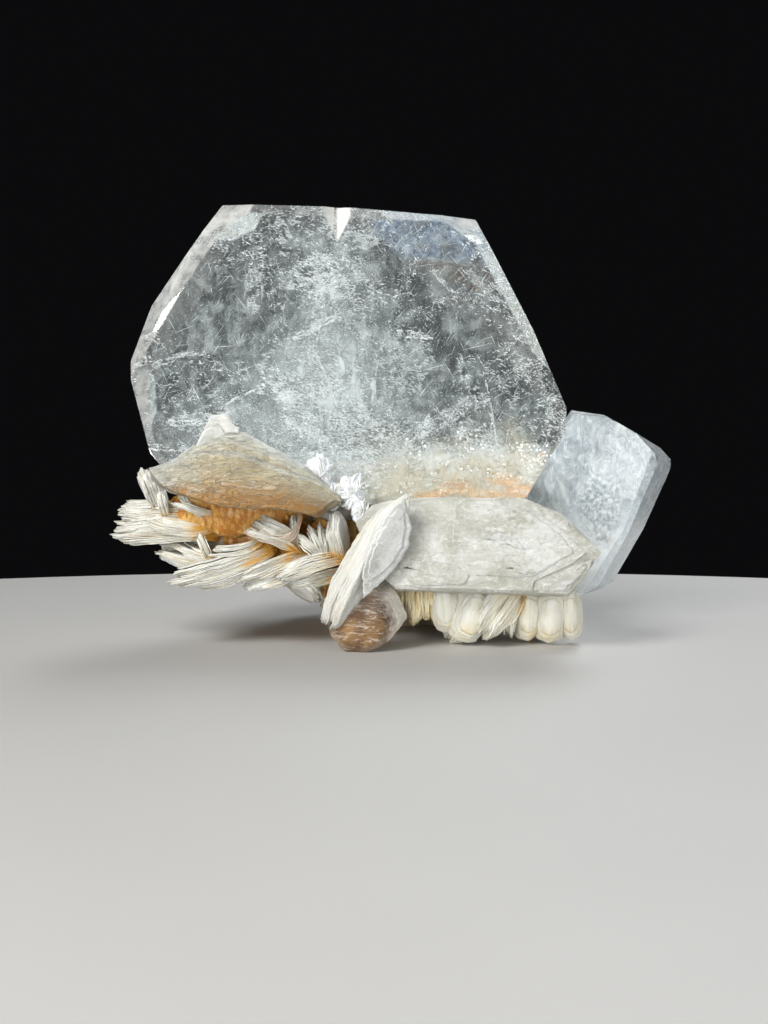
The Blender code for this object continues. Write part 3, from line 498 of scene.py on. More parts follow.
def turned(vector, axis, angle):
    """The vector turned about a unit axis."""
    vector, axis = np.asarray(vector, float), np.asarray(axis, float)
    along = axis * (axis @ vector)
    return along + math.cos(angle) * (vector - along) + math.sin(angle) * np.cross(axis, vector)


def waves(points, size, seed, count=24):
    """Smooth unevenness from -1 to 1: the mean of many sine waves in random directions."""
    chance = np.random.default_rng(seed)
    ways = unit(chance.normal(size=(count, 3))) * chance.uniform(0.6, 1.6, (count, 1))
    phases = chance.uniform(0.0, 2.0 * math.pi, count)
    return np.sin(points @ ways.T * (2.0 * math.pi / size) + phases).mean(-1) * math.sqrt(count) / 2.0


def smooth_step(values, low, high):
    """0 at low, 1 at high, and an even S between them."""
    part = np.clip((values - low) / (high - low), 0.0, 1.0)
    return part * part * (3.0 - 2.0 * part)


# What the sheets stand against.

def flat_sides(node):
    """The planes that hold all of a solid: their outward normals, and their distances from the origin."""
    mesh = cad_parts[node].data
    points = np.array([vertex.co for vertex in mesh.vertices])
    normals = np.array([face.normal for face in mesh.polygons])
    middles = np.array([face.center for face in mesh.polygons])
    distances = (normals * middles).sum(-1)
    holds = ((points @ normals.T - distances).max(0) < 0.02 * MM)
    rows = np.round(np.column_stack((normals, distances / MM))[holds], 3)
    unique = np.unique(rows, axis=0)
    return unique[:, :3], unique[:, 3] * MM


TABLET_SIDES = flat_sides("beryl_crystal")
TABLET_BOX = np.array(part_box("beryl_crystal"))
SMALL_SIDES = flat_sides("beryl_crystal_small")
SMALL_BOX = np.array(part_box("beryl_crystal_small"))


def inside_by(points, sides):
    """How far inside the planes each point is; negative outside."""
    normals, distances = sides
    return (distances - points @ normals.T).min(-1)


def kept_out(points, sides, gap):
    """Points that lie inside the planes, moved out through the nearest one and gap beyond it."""
    normals, distances = sides
    room = distances - points @ normals.T
    nearest = room.argmin(-1)
    depth = np.maximum(room.min(-1) + gap, 0.0)
    return points + depth[..., None] * normals[nearest]


def settled(points):
    """Points kept out of both crystals and above the ground."""
    for sides in (TABLET_SIDES, SMALL_SIDES):
        points = kept_out(points, sides, CRYSTAL_GAP)
    points[..., 2] = np.maximum(points[..., 2], 0.0)
    return points


def foot_of_tablet(points):
    """How far above the large crystal's foot each point is, and the foot's outward normal."""
    normals, distances = TABLET_SIDES
    face = (normals @ FOOT_OUT).argmax()
    return distances[face] - points @ normals[face], normals[face]


# Mica.

def parameters(rows, columns, low=0.0):
    """A sheet's two parameters: v from low to 1 down its rows, and u from -1 to 1 across its columns."""
    return np.linspace(low, 1.0, rows)[None, :, None], np.linspace(-1.0, 1.0, columns)[None, None, :]


def ragged_sides(chance, count, rows, u, inwards):
    """How much wider than even a sheet is at either side of every row, by chance."""
    sides = 1.0 + chance.uniform(-inwards, 0.03, (count, rows, 2))
    return np.where(u < 0.0, sides[..., :1], sides[..., 1:])


def book_axes(root, tip, roll):
    """A book's length, and the directions along it, through its sheets and across them."""
    length = np.linalg.norm(tip - root)
    along = (tip - root) / length
    through = turned(unit(np.cross(along, BACKWARDS)), along, math.radians(roll))
    return length, along, through, np.cross(along, through)


def book_sheets(book, chance):
    """The sheets of a book, fanned from its root.

    With v from 0 at the root to 1 at the tip and u from -1 to 1 across, a point of the sheet at s (-1/2
    to 1/2) in the stack is root + v length along + u w(v)/2 across + (s stack h(v) + 4 bow v (1 - v) +
    bend v^2) through. h and w grow from the root's shares, and w closes again to a blunt tip. Waves
    that all the sheets share bend them together, and chance ends the packets at different lengths.
    """
    root, tip, width, stack, roll, bow = book
    root, tip = np.array(root) * MM, np.array(tip) * MM
    width, stack, bow = width * MM, stack * MM, bow * MM
    length, along, through, across = book_axes(root, tip, roll)
    count = max(2, int(round(stack / SHEET_ROOM)))
    packet = (np.arange(count) + chance.integers(0, PACKET_SHEETS)) // PACKET_SHEETS
    packets = packet.max() + 1
    v, u = parameters(LEAF_ROWS, LEAF_COLUMNS)
    share = (np.linspace(-0.5, 0.5, count) + chance.normal(0.0, 0.2 / count, count))[:, None, None]

    reach = chance.uniform(0.90, 1.0, packets)[packet] * chance.uniform(0.98, 1.0, count)
    reach = reach * (1.0 - OUTER_SHORT * (2.0 * np.abs(share[:, 0, 0])) ** 2.0)
    slant = chance.normal(0.0, 0.05, packets)[packet][:, None, None]
    ends = 1.0 - (chance.uniform(0.0, 0.05, (count, 1, LEAF_COLUMNS)) + np.abs(slant * u)) * v ** 4
    bend = chance.normal(0.0, 0.004, packets)[packet][:, None, None]
    sway = (chance.normal(0.0, 0.02, packets)[packet] + chance.normal(0.0, 0.005, count))[:, None, None]
    grown = ROOT_WIDTH + (1.0 - ROOT_WIDTH) * np.clip(v / 0.4, 0.0, 1.0) ** 0.7
    tip_taper = np.clip((1.0 - v) / 0.30 + 0.34, 0.0, 1.0) ** 0.6
    ragged = ragged_sides(chance, count, LEAF_ROWS, u, 0.06)
    widths = chance.uniform(0.80, 1.0, packets)[packet] * chance.uniform(0.94, 1.0, count)
    wide = 0.5 * width * grown * tip_taper * ragged * widths[:, None, None]
    tall = ROOT_SPREAD + (1.0 - ROOT_SPREAD) * np.clip(v / 0.6, 0.0, 1.0) - 0.12 * v ** 4
    uneven = chance.normal(0.0, 0.03 * SHEET_ROOM, (count, LEAF_ROWS, LEAF_COLUMNS))
    rise = share * stack * tall + bend * length * v * v + 4.0 * bow * v * (1.0 - v) + uneven
    centre = (root + (length * reach[:, None, None] * ends * v)[..., None] * along
              + (u * wide + sway * length * v * v)[..., None] * across + rise[..., None] * through)
    centre = centre + (0.13 * MM * v * waves(centre, 2.6 * MM, SEED + 3))[..., None] * through
    start = chance.uniform(0.0, 60.0)
    return slabs(centre, SHEET_FILL * SHEET_ROOM * through, {
        "reach": v, "sheet": chance.random((count, 1, 1)), "along": start + v * length / MM,
        "across": u * wide / MM, "through": start + share * stack / MM,
        "rim": np.maximum(np.abs(u), v ** 6)})


def books(table, seed, more=()):
    """Every book of a mass, and more forms with them."""
    chance = np.random.default_rng(SEED + seed)
    return joined([book_sheets(book, chance) for book in table] + list(more))


def knot_sheets(knot, chance):
    """Small slabs that stick out of a middle on all sides but the back."""
    middle, radii, count = knot
    ways = unit(chance.normal(size=(count, 3)) * (1.0, 0.7, 0.8) + (0.0, -0.5, 0.6))
    tips = np.array(middle) + ways * radii * chance.uniform(0.75, 1.0, (count, 1))
    roots = np.array(middle) - 0.2 * (tips - middle)
    sizes = np.column_stack((chance.uniform(1.2, 2.2, count), chance.uniform(0.2, 0.45, count),
                             chance.uniform(0.0, 180.0, count), np.zeros(count)))
    return joined([book_sheets((root, tip, *size), chance) for root, tip, size in zip(roots, tips, sizes)])


def heap_sheets(heap, chance):
    """Round sheets in a heap, smaller towards the front.

    With u and v from -1 to 1 a sheet's disc is wide u (1 - v^2/3)^(1/2) across and high
    v (1 - u^2/3)^(1/2) up. The sheet at t, from 0 at the back to 1 in front, is 1 - 0.30 t^3 as large,
    t deep further forward and t times the shift aside, and its middle stands out before its border.
    """
    middle, half, deep, shift, lean, count = heap
    v, u = parameters(HEAP_ROWS, HEAP_ROWS, -1.0)
    t = (np.arange(count) / (count - 1.0))[:, None, None]
    size = (1.0 - 0.30 * t ** 3) * chance.uniform(0.95, 1.0, (count, 1, 1))
    right = turned((1.0, 0.0, 0.0), BACKWARDS, math.radians(lean))
    up = turned((0.0, 0.0, 1.0), BACKWARDS, math.radians(lean))
    disc = (half[0] * size * u * np.sqrt(1.0 - v * v / 3.0) + shift[0] * t,
            half[1] * size * v * np.sqrt(1.0 - u * u / 3.0) + shift[1] * t)
    dome = 1.0 - 0.35 * (u * u + v * v) * size
    flat = (np.array(middle) + disc[0][..., None] * right + disc[1][..., None] * up
            - (deep * t * dome)[..., None] * BACKWARDS)
    centre = flat + 0.12 * waves(flat, 2.0, SEED + 8)[..., None] * right
    centre = centre + 0.14 * waves(flat, 1.6, SEED + 9)[..., None] * up
    return slabs(centre * MM, -0.96 * deep / (count - 1.0) * MM * BACKWARDS, {
        "reach": 1.0 - 0.5 * np.clip(-v, 0.0, 1.0) ** 2, "sheet": chance.random((count, 1, 1)),
        "along": disc[1] + 3.0 * t, "across": deep * t, "through": HEAP_START + disc[0],
        "rim": np.maximum(np.abs(u), np.abs(v)) ** 3})


def ball(rows, columns):
    """A closed ball: unit directions from pole to pole, and triangles that close its seam and poles."""
    tilt = np.linspace(0.0, math.pi, rows + 1)[1:-1, None]
    turn = np.linspace(0.0, 2.0 * math.pi, columns, endpoint=False)[None]
    rings = np.stack(np.broadcast_arrays(
        np.sin(tilt) * np.cos(turn), np.sin(tilt) * np.sin(turn), np.cos(tilt)), axis=-1).reshape(-1, 3)
    ways = np.concatenate((rings, ((0.0, 0.0, 1.0), (0.0, 0.0, -1.0))))
    index = np.arange((rows - 1) * columns).reshape(rows - 1, columns)
    index = np.concatenate((index, index[:, :1]), axis=1)
    body = quads(index)
    north = np.full(columns, len(rings))
    faces = np.concatenate((
        body[:, (0, 2, 1)], body[:, (0, 3, 2)],
        np.stack((north, index[0, :-1], index[0, 1:]), axis=-1),
        np.stack((north + 1, index[-1, 1:], index[-1, :-1]), axis=-1)))
    return ways, faces


def lump(centre, radii, roughness, size, seed):
    """An uneven ellipsoid: centre + radii times a direction, times 1 + roughness times waves."""
    ways, faces = ball(LUMP_ROWS, 2 * LUMP_ROWS)
    centre, radii = np.array(centre) * MM, np.array(radii) * MM
    swell = waves(ways * radii, size * MM, seed) + 0.4 * waves(ways * radii, 0.3 * size * MM, seed + 1)
    return centre + ways * radii * (1.0 + roughness * swell)[:, None], faces, {}


def cores(table, seed):
    """The lumps that a mass of books grows from."""
    points, faces, numbers = joined([
        lump(*core, CORE_ROUGHNESS, CORE_WAVES, seed + 10 * number) for number, core in enumerate(table)])
    return settled(points), faces, numbers


def spindles(middles, ways, lengths, widths, sides, seed):
    """Many small closed spindles: each a ring of sides points at its middle and a point at either end."""
    chance = np.random.default_rng(seed)
    count = len(middles)
    ways = unit(ways)
    first = unit(np.cross(ways, unit(chance.normal(size=(count, 3)))))
    second = np.cross(ways, first)
    turn = np.linspace(0.0, 2.0 * math.pi, sides, endpoint=False)[None, :, None]
    waist = widths[:, None, None] / 2.0 * (np.cos(turn) * first[:, None] + np.sin(turn) * second[:, None])
    half = (lengths[:, None] / 2.0) * ways
    points = np.concatenate((
        middles[:, None] + waist, (middles + half)[:, None], (middles - half)[:, None]), axis=1)
    here = np.arange(sides)
    after = (here + 1) % sides
    one = np.concatenate((
        np.stack((here, after, np.full(sides, sides)), axis=-1),
        np.stack((after, here, np.full(sides, sides + 1)), axis=-1)))
    faces = one[None] + (sides + 2) * np.arange(count)[:, None, None]
    return points.reshape(-1, 3), faces.reshape(-1, 3)


# Finishes.

def lets_lamps_in(finish, shader):
    """The shader, but one that lamplight passes through to what is inside."""
    shadow = finish.node("LightPath", output=1)
    through = finish.node("BsdfTransparent", {}, {"Color": (1.0, 1.0, 1.0)})
    return finish.mixed(shadow, shader, through)


def glass(finish, colour, roughness):
    """Clear beryl."""
    return finish.surface(colour, roughness, more={"IOR": BERYL_IOR, "Transmission Weight": 1.0})


def absorption(finish, colour, density):
    """What clear stone takes from light on its way through."""
    return finish.node("VolumeAbsorption", {}, {"Color": colour, "Density": density})


def streaks(finish, turn, size, low, high):
    """Short wisps that lie along one direction of the broad face."""
    return finish.noise(size, 4.0, 0.68, 0.35, stretch=(1.0, 1.0, 0.22), turn=turn).between(low, high)


def milk(finish):
    """How milky the large beryl looks: below its groove, across its middle and low at its left."""
    amount = 0.0
    for x, z, wide, high, strength in MILKY_SPOTS:
        away = finish.away((x, 0.0, z), (1.0 / wide, 0.0, 1.0 / high))
        amount = (1.0 - away).at_least(0.0) * strength + amount
    return amount


def clear_beryl():
    """Glassy stone, veiled inside, frosted on its small facets with painted light in the frost, blue on one,
    and stained at its foot.
    """
    finish = Finish("clear_beryl")
    frost, stain, blue, broad = finish.numbers("frost", "stain", "blue", "broad")
    x, y, z = finish.coordinates()
    fine = finish.noise(0.5 * MM, 4.0, 0.65)
    cloud = finish.noise(5.0 * MM, 5.0, 0.62)
    bloom = finish.noise(2.2 * MM, 4.0, 0.6, 0.4)
    wisps = (streaks(finish, 0.55, 0.9 * MM, 0.52, 0.72)
             + streaks(finish, -0.6, 0.8 * MM, 0.56, 0.76)
             + streaks(finish, 1.35, 0.9 * MM, 0.57, 0.75)).at_most(1.0)
    milky = milk(finish) * (0.35 + cloud)
    veil = 0.04 + milky * 0.20 + bloom.between(0.5, 0.75) * 0.25 + wisps * (0.10 + milky * 0.18)
    swing = (cloud - 0.5) * (16.0 * MM) + (bloom - 0.5) * (6.0 * MM)
    haze = (z + swing).between(24.0 * MM, 20.0 * MM) * (x + swing).between(-6.0 * MM, -1.0 * MM)
    tinted = blue * (z + x * 0.08).between(42.0 * MM, 42.6 * MM)
    chalk = finish.coats(
        (0.66, 0.67, 0.64),
        (tinted, (0.09, 0.16, 0.26)),
        (fine.between(0.4, 0.7) * 0.5, (0.90, 0.91, 0.90)),
        (broad, finish.blend(haze, (0.72, 0.80, 0.80), (0.47, 0.45, 0.35))))
    # Painted light in the frost of the small facets: whiter in the groove and less towards the right, with a
    # clear line along the groove's ridge that keeps a dark ridge between its two bright faces.
    rough = (bloom - x.between(6.0 * MM, 14.0 * MM) * 0.13).between(0.22, 0.62) * 1.15
    groove = x.near(GROOVE_X, 1.2 * MM, 1.7 * MM) * 0.7
    gap = x.near(GROOVE_X, 0.10 * MM, 0.22 * MM)
    frost_and_painted_light = frost * (rough + groove) * (1.0 - (blue - tinted) * 0.8) * (1.0 - gap)
    hazy = haze * (0.04 + 0.55 * bloom.between(0.38, 0.68))
    share = (frost_and_painted_light + broad * (veil.at_most(0.75) + hazy)).at_most(1.0)
    shader = finish.mixed(share, glass(finish, (0.97, 0.985, 1.0), 0.015), finish.surface(chalk, 0.35))
    stained = stain * (y + swing * 0.35).between(6.5 * MM, 4.0 * MM)
    shader = finish.mixed(stained, shader, seat_shader(finish))
    return finish.done(lets_lamps_in(finish, shader), absorption(finish, (0.80, 0.90, 0.92), 10.0))


def seat_shader(finish):
    """Iron-stained grains: grey at the left, beige elsewhere, with a few orange patches at the right."""
    left = finish.coordinates()[0].between(-4.0 * MM, -9.0 * MM)
    grain = finish.cells(1.1 * MM)
    patch = finish.noise(3.0 * MM, 4.0, 0.6)
    fine = finish.noise(0.35 * MM, 3.0)
    spots = 0.0
    for x, y, radius in STAIN_SPOTS:
        spots = (1.0 - finish.away((x, y, 0.0), (1.0 / radius, 1.0 / radius, 0.0))).at_least(0.0) + spots
    orange = finish.blend(fine.between(0.3, 0.7), (0.50, 0.20, 0.03), (0.62, 0.38, 0.15))
    colour = finish.coats(
        (0.26, 0.245, 0.18),
        (patch.between(0.35, 0.65), (0.43, 0.41, 0.34)),
        (left, (0.34, 0.37, 0.36)),
        ((spots * 2.4 + (patch - 0.5) * 2.4).between(0.45, 0.95) * 0.9, orange))
    colour = finish.blend(0.08, colour, finish.cells(1.3 * MM, output=1), kind="SOFT_LIGHT")
    white = (fine.between(0.60, 0.72) + grain.between(0.5, 0.1)) * 0.5
    colour = finish.blend(white.at_most(0.8), colour, (0.86, 0.86, 0.85))
    return finish.surface(colour, 0.45, finish.bump(grain + fine * 0.4, 0.35 * MM, 0.8))


def cloudy_beryl():
    """Milky blue-grey stone: clearer in patches, cracked, pale low down, and broken low at its middle."""
    finish = Finish("cloudy_beryl")
    [frost] = finish.numbers("frost")
    z = finish.coordinates()[2]
    cloud = finish.noise(5.0 * MM, 5.0, 0.6, 0.6)
    wisps = finish.noise(1.6 * MM, 5.0, 0.7, 0.9, stretch=(1.0, 0.7, 0.6), turn=0.5)
    grain = finish.noise(0.45 * MM, 4.0, 0.65)
    crack = finish.noise(1.9 * MM, 4.0, 0.62, 1.6, stretch=(1.0, 0.8, 0.45), turn=-0.9)
    broken = 1.1 - finish.away((24.0, 0.0, 14.6), (0.34, 0.0, 0.26)) + (cloud - 0.5) * 2.2
    broken = broken.between(0.0, 0.5)
    low = (z + (cloud - 0.5) * (8.0 * MM)).between(15.0 * MM, 10.0 * MM)
    rubble = finish.blend(grain.between(0.42, 0.62), (0.15, 0.19, 0.21), (0.74, 0.78, 0.80))
    colour = finish.coats(
        (0.20, 0.235, 0.255),
        (cloud.between(0.38, 0.62), (0.37, 0.41, 0.43)),
        (low * 0.9, (0.84, 0.88, 0.90)),
        (wisps.between(0.52, 0.64) * 0.6, (0.60, 0.64, 0.65)),
        (crack.near(0.5, 0.0, 0.02) * 0.55, (0.86, 0.88, 0.89)),
        (broken * 0.7, rubble),
        (frost * (grain + wisps * 0.5).between(0.66, 0.86) * 0.9, (0.86, 0.88, 0.89)))
    relief = finish.bump(wisps + crack * 1.5 + grain * (broken * 0.7 + frost * 1.2), 0.22 * MM, 0.8)
    share = (0.40 + wisps.between(0.42, 0.72) * 0.5 + frost * 0.35 + broken * 0.2).at_most(1.0)
    shader = finish.mixed(share, glass(finish, (0.94, 0.97, 1.0), 0.12), finish.surface(colour, 0.30, relief))
    return finish.done(lets_lamps_in(finish, shader), absorption(finish, (0.80, 0.88, 0.92), 20.0))


def veil_white(name, dull, bright):
    """The white of tiny healed cracks, from dull to bright by chance."""
    finish = Finish(name)
    [spark] = finish.numbers("spark")
    speck = finish.noise(0.2 * MM, 1.0)
    colour = finish.blend((spark * 0.8 + speck * 0.2).between(0.0, 1.0), dull, bright)
    return finish.done(finish.surface(colour, 0.4))


def mica(name, pale, warm, rust, face, stain):
    """Stacked mica: pale sheets in fine layers, warm towards the root, with iron between some of them, and
    thin lines of painted shade between its layers.

    Face is the colour of a sheet's broad side, inside its white rim, and stain is how much iron there is.
    """
    finish = Finish(name)
    reach, sheet, along, across, through, rim = finish.numbers(
        "reach", "sheet", "along", "across", "through", "rim")
    patch = finish.noise(3.2 * MM, 3.0)
    fine = finish.noise(0.35 * MM, 4.0, 0.65)
    laid = finish.node("CombineXYZ", {}, {0: along * 0.16, 1: across * 1.6, 2: through * 2.6})
    layers = finish.noise(1.0, 4.0, 0.66, place=laid)
    root = 1.0 - reach
    lean = (sheet - 0.5) * 0.4 + (patch - 0.5) * 1.5 + (layers - 0.5) * 1.6
    scratched = (fine.between(0.50, 0.62) * 0.5 + layers.between(0.52, 0.66) * 0.6).at_most(1.0)
    colour = finish.coats(
        pale,
        (layers.between(0.54, 0.66) * 0.6, (0.88, 0.88, 0.86)),
        ((1.0 - rim.between(0.72, 0.97)) * 0.9, finish.blend(scratched, face, (0.88, 0.88, 0.87))),
        ((root * 1.1 - 0.45 + lean + stain * 0.2).between(0.0, 0.9) * 0.8, warm),
        ((root * 1.9 - 1.35 + lean + stain * 0.5).between(0.0, 0.55), rust),
        # Thin tan-brown lines along the layers: a tan tint together with painted shade in the gaps between
        # sheets.
        ((0.46 - layers).between(0.0, 0.08) * 0.42, (0.46, 0.38, 0.27)))
    relief = finish.bump(fine * 0.5 + layers, 0.09 * MM, 0.8)
    return finish.done(finish.surface(colour, 0.34 + 0.2 * fine, relief, (0.25, (1.0, 0.7, 0.4), 0.5 * MM)))


def dome_mica():
    """The rounded book's brown face, scratched white, with white where its sheets end."""
    finish = Finish("dome_mica")
    border, across, along = finish.numbers("rim", "through", "along")
    cloud = finish.noise(2.4 * MM, 4.0, 0.62)
    uneven = cloud - 0.5
    steep, flat = [finish.noise(0.7 * MM, 4.0, 0.72, 1.2, stretch=(0.35, 1.0, 1.8), turn=turn)
                   for turn in (-0.9, 0.5)]
    across = across - HEAP_START
    white = (steep.between(0.53, 0.62) * 0.9 + flat.between(0.57, 0.67) * 0.7).at_most(1.0)
    colour = finish.coats(
        (0.11, 0.054, 0.018),
        (cloud.between(0.35, 0.65), (0.33, 0.18, 0.065)),
        ((along + across + uneven * 6.0).between(2.0, 4.5) * 0.6, (0.20, 0.15, 0.12)),
        ((across - along * 0.4 + uneven * 5.0).between(0.4, 2.6) * 0.85, (0.78, 0.74, 0.66)),
        (border.between(0.85, 1.0) * 0.3, (0.74, 0.70, 0.64)),
        (white * 0.6, (0.80, 0.74, 0.64)))
    return finish.done(finish.surface(colour, 0.28, finish.bump(steep + flat + cloud, 0.18 * MM, 0.8)))


def core_finish(name, dark, light):
    """The massive stained mica that the books grow from, in thin upright layers."""
    finish = Finish(name)
    patch = finish.noise(3.0 * MM, 3.0, 0.55)
    flake = finish.noise(0.5 * MM, 4.0, 0.65, stretch=(1.0, 1.0, 0.3), turn=0.7)
    colour = finish.blend((patch + (flake - 0.5) * 1.2).between(0.35, 0.70), dark, light)
    relief = finish.bump(flake + patch, 0.14 * MM, 0.6)
    return finish.done(finish.surface(colour, 0.38, relief, (0.4, (1.0, 0.6, 0.2), 1.2 * MM)))


def plate_mica(name, dull, bright, turns, edge):
    """Mica seen on its broad side: frosty, pale along its edges, with a net of white hair lines."""
    finish = Finish(name)
    [rim] = finish.numbers("rim")
    cloud = finish.noise(4.2 * MM, 5.0, 0.64, 0.6)
    frost = finish.noise(0.5 * MM, 5.0, 0.72)
    drift = finish.noise(5.0 * MM)
    hairs = [finish.noise(0.9 * MM, 5.0, 0.76, 1.8, stretch=(0.40, 1.0, 1.4), turn=turn) for turn in turns]
    white = hairs[0].between(0.54, 0.66) * 0.8 + hairs[1].between(0.57, 0.68) * 0.7
    white = (white + rim.between(0.4, 1.0) * edge).at_most(1.0)
    colour = finish.coats(
        dull,
        (cloud.between(0.36, 0.64), bright),
        ((frost + (drift - 0.5) * 0.9).between(0.48, 0.68) * 0.7, (0.78, 0.79, 0.77)),
        (white * 0.7, (0.92, 0.925, 0.91)))
    relief = finish.bump(frost * 0.7 + hairs[0] + hairs[1], 0.18 * MM, 0.9)
    return finish.done(finish.surface(colour, 0.22 + 0.22 * frost, relief, (0.2, (1.0, 0.9, 0.7), 0.6 * MM)))


def shell_mica():
    """The curved book's brown-beige mica: pale where its sheets end, creased with painted shade and painted
    highlight, and orange towards its lip, darkened there with painted shade.
    """
    finish = Finish("beige_mica")
    drop, part = finish.numbers("reach", "part")
    x = finish.coordinates()[0]
    cloud = finish.noise(3.2 * MM, 5.0, 0.62, 0.9)
    fine = finish.noise(0.4 * MM, 4.0, 0.65)
    lines = finish.noise(1.1 * MM, 4.0, 0.65, 2.2, stretch=(0.30, 1.0, 1.4), turn=0.3)
    creases = finish.noise(2.2 * MM, 3.0, 0.6, 2.6, stretch=(0.45, 1.0, 1.3), turn=0.45)
    uneven = cloud - 0.5
    left = (x + uneven * (6.0 * MM)).between(-21.0 * MM, -25.5 * MM)
    # Towards its lip the mica turns darker orange and less white: its own orange, darkened with painted shade
    # under the turned-down lip.
    glow = (drop + uneven * 0.4 - left * 0.3).between(0.60, 0.88)
    veins = lines.near(0.5, 0.0, 0.025)
    # Painted shade and highlight on the creases: a dark line along each crease, and a white line just beside
    # it, which goes into white below.
    painted_crease_shade = creases.near(0.5, 0.0, 0.016)
    edge = 1.0 - part.between(0.0, 0.12)
    white = edge * 0.8 + veins * 0.8 + creases.near(0.52, 0.0, 0.012) * 0.9
    white = (white + lines.between(0.58, 0.70) * 0.7).at_most(1.0)
    colour = finish.coats(
        (0.29, 0.23, 0.13),
        (cloud.between(0.3, 0.7), (0.55, 0.47, 0.31)),
        ((0.42 - drop + uneven * 0.5).between(0.0, 0.4) * 0.8, (0.60, 0.59, 0.48)),
        (left * 0.8, (0.54, 0.53, 0.48)),
        (glow * 0.95, (0.33, 0.16, 0.032)),
        (painted_crease_shade * 0.75, (0.20, 0.15, 0.08)),
        (white * (0.85 - glow * 0.5), (0.74, 0.72, 0.63)))
    relief = finish.bump(fine * 0.5 + lines + veins * 0.3 - painted_crease_shade * 0.6 + creases, 0.21 * MM, 0.9)
    return finish.done(finish.surface(colour, 0.20 + 0.25 * fine, relief, (0.25, (1.0, 0.7, 0.3), 0.8 * MM)))


def floor_finish():
    """A plain pale table."""
    finish = Finish("pale_table")
    soft = finish.noise(30.0 * MM)
    return finish.done(finish.surface(finish.blend(soft, (0.47, 0.465, 0.455), (0.50, 0.495, 0.485)), 0.6))


# The crystals.

def eased_solid(node, ease):
    """A node's mesh with its doubled points merged, its flat faces whole and its edges eased."""
    bm = bmesh.new()
    bm.from_mesh(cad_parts[node].data)
    bmesh.ops.remove_doubles(bm, verts=bm.verts, dist=0.002 * MM)
    bmesh.ops.dissolve_limit(
        bm, angle_limit=math.radians(0.6), verts=bm.verts, edges=bm.edges, delimit={"NORMAL"})
    bmesh.ops.bevel(bm, geom=bm.edges[:], offset=ease, segments=2, affect="EDGES", clamp_overlap=True)
    bmesh.ops.triangulate(bm, faces=bm.faces)
    bmesh.ops.remove_doubles(bm, verts=bm.verts, dist=0.0005 * MM)
    return bm


def crystal(name, node, material, slot, facet_shares):
    """A crystal from its solid, with numbers on its facets that say how each is finished."""
    bm = eased_solid(node, CRYSTAL_EASE)
    layers = {key: bm.faces.layers.float.new(key) for key in ("frost", "stain", "blue", "broad")}
    for face in bm.faces:
        face.smooth = False
        shares = facet_shares(np.array(face.normal), np.array(face.calc_center_median()))
        for key, layer in layers.items():
            face[layer] = shares.get(key, 0.0)
    finish_piece(object_of(name, bm), material, slot, node)


def tablet_facet(normal, middle):
    """How a facet of the large beryl is finished."""
    if normal @ FOOT_OUT > 0.97:
        return {"stain": 1.0}
    facing = normal @ TABLET_OUT
    if abs(facing) > 0.992:
        return {"broad": 1.0}
    # The frost set below is partly painted light: it whitens the groove's facets, and each facet by its
    # azimuth, for the light that it catches, and less on facets that face back.
    near_notch = np.linalg.norm(middle - NOTCH_MIDDLE) < NOTCH_REACH
    if near_notch and abs(normal[0]) > 0.25 and facing > 0.1:
        return {"frost": 1.0}
    azimuth = math.degrees(math.atan2(normal @ TABLET_UP, normal[0]))
    if facing < -0.5 and 40.0 < azimuth < 52.0:
        return {"frost": 0.55, "blue": 1.0}
    share = next(share for limit, share in SHARES_BY_AZIMUTH if azimuth <= limit)
    return {"frost": 0.35 * share if facing < -0.2 else share}


def small_facet(normal, middle):
    """How a facet of the small beryl is finished: clear in front, frosted elsewhere."""
    return {"frost": 0.0 if normal[1] < -0.8 else 0.6}


def milkiness(points):
    """How cloudy the large beryl is: along its middle below the groove, and low down at its left."""
    x, z = points[:, 0] / MM, points[:, 2] / MM
    column = np.exp(-((x + 6.4) / 4.5) ** 2) * np.clip((z - 22.0) / 8.0, 0.0, 1.0) * 0.55
    middle = np.exp(-((x + 7.5) / 10.0) ** 2 - ((z - 26.0) / 7.0) ** 2)
    low = np.exp(-((x + 16.0) / 12.0) ** 2 - ((z - 20.5) / 5.0) ** 2) * 0.8
    right = np.exp(-((x - 8.0) / 8.0) ** 2 - ((z - 20.0) / 3.5) ** 2) * 0.7
    return np.clip(0.24 + column + middle + low + right, 0.0, 1.0)


def veil_places(count, veils, sides, box, seed, radii):
    """Places and directions on curved healed cracks.

    A crack is a bowl: with r and t polar about its centre, a place is centre + r (cos t, sin t) in
    the crack's plane + curve r^2 along its normal. Only places inside the crystal stay, and where
    waves over the crack are high, so that it is wispy.
    """
    chance = np.random.default_rng(seed)
    centres = chance.uniform(*box, (veils, 3))
    normals = unit(chance.normal(size=(veils, 3)) * (1.0, 1.3, 1.0))
    which = chance.integers(0, veils, count)
    first = unit(np.cross(normals, (0.3, 0.2, 1.0)))
    second = np.cross(normals, first)
    r = chance.uniform(*radii, veils)[which] * MM * np.sqrt(chance.random(count))
    t = chance.uniform(0.0, 2.0 * math.pi, count)
    curve = chance.uniform(-28.0, 28.0, veils)[which]
    places = (centres[which] + (r * np.cos(t))[:, None] * first[which]
              + (r * np.sin(t))[:, None] * second[which] + (curve * r * r)[:, None] * normals[which])
    ways = first[which] + 0.35 * chance.normal(size=(count, 3))
    stays = (inside_by(places, sides) > FLECK_DEPTH) & (waves(places, 1.8 * MM, seed + 1) > -0.05)
    return places[stays], ways[stays]


def scattered(count, box, seed):
    """Places anywhere in a part of the large beryl."""
    places = np.random.default_rng(seed).uniform(*box, (count, 3))
    return places[inside_by(places, TABLET_SIDES) > FLECK_DEPTH]


def clear_of_notch(places):
    """True for places that aren't in the groove in the large beryl's top."""
    return np.linalg.norm(places - NOTCH_MIDDLE, axis=-1) > 0.6 * NOTCH_REACH


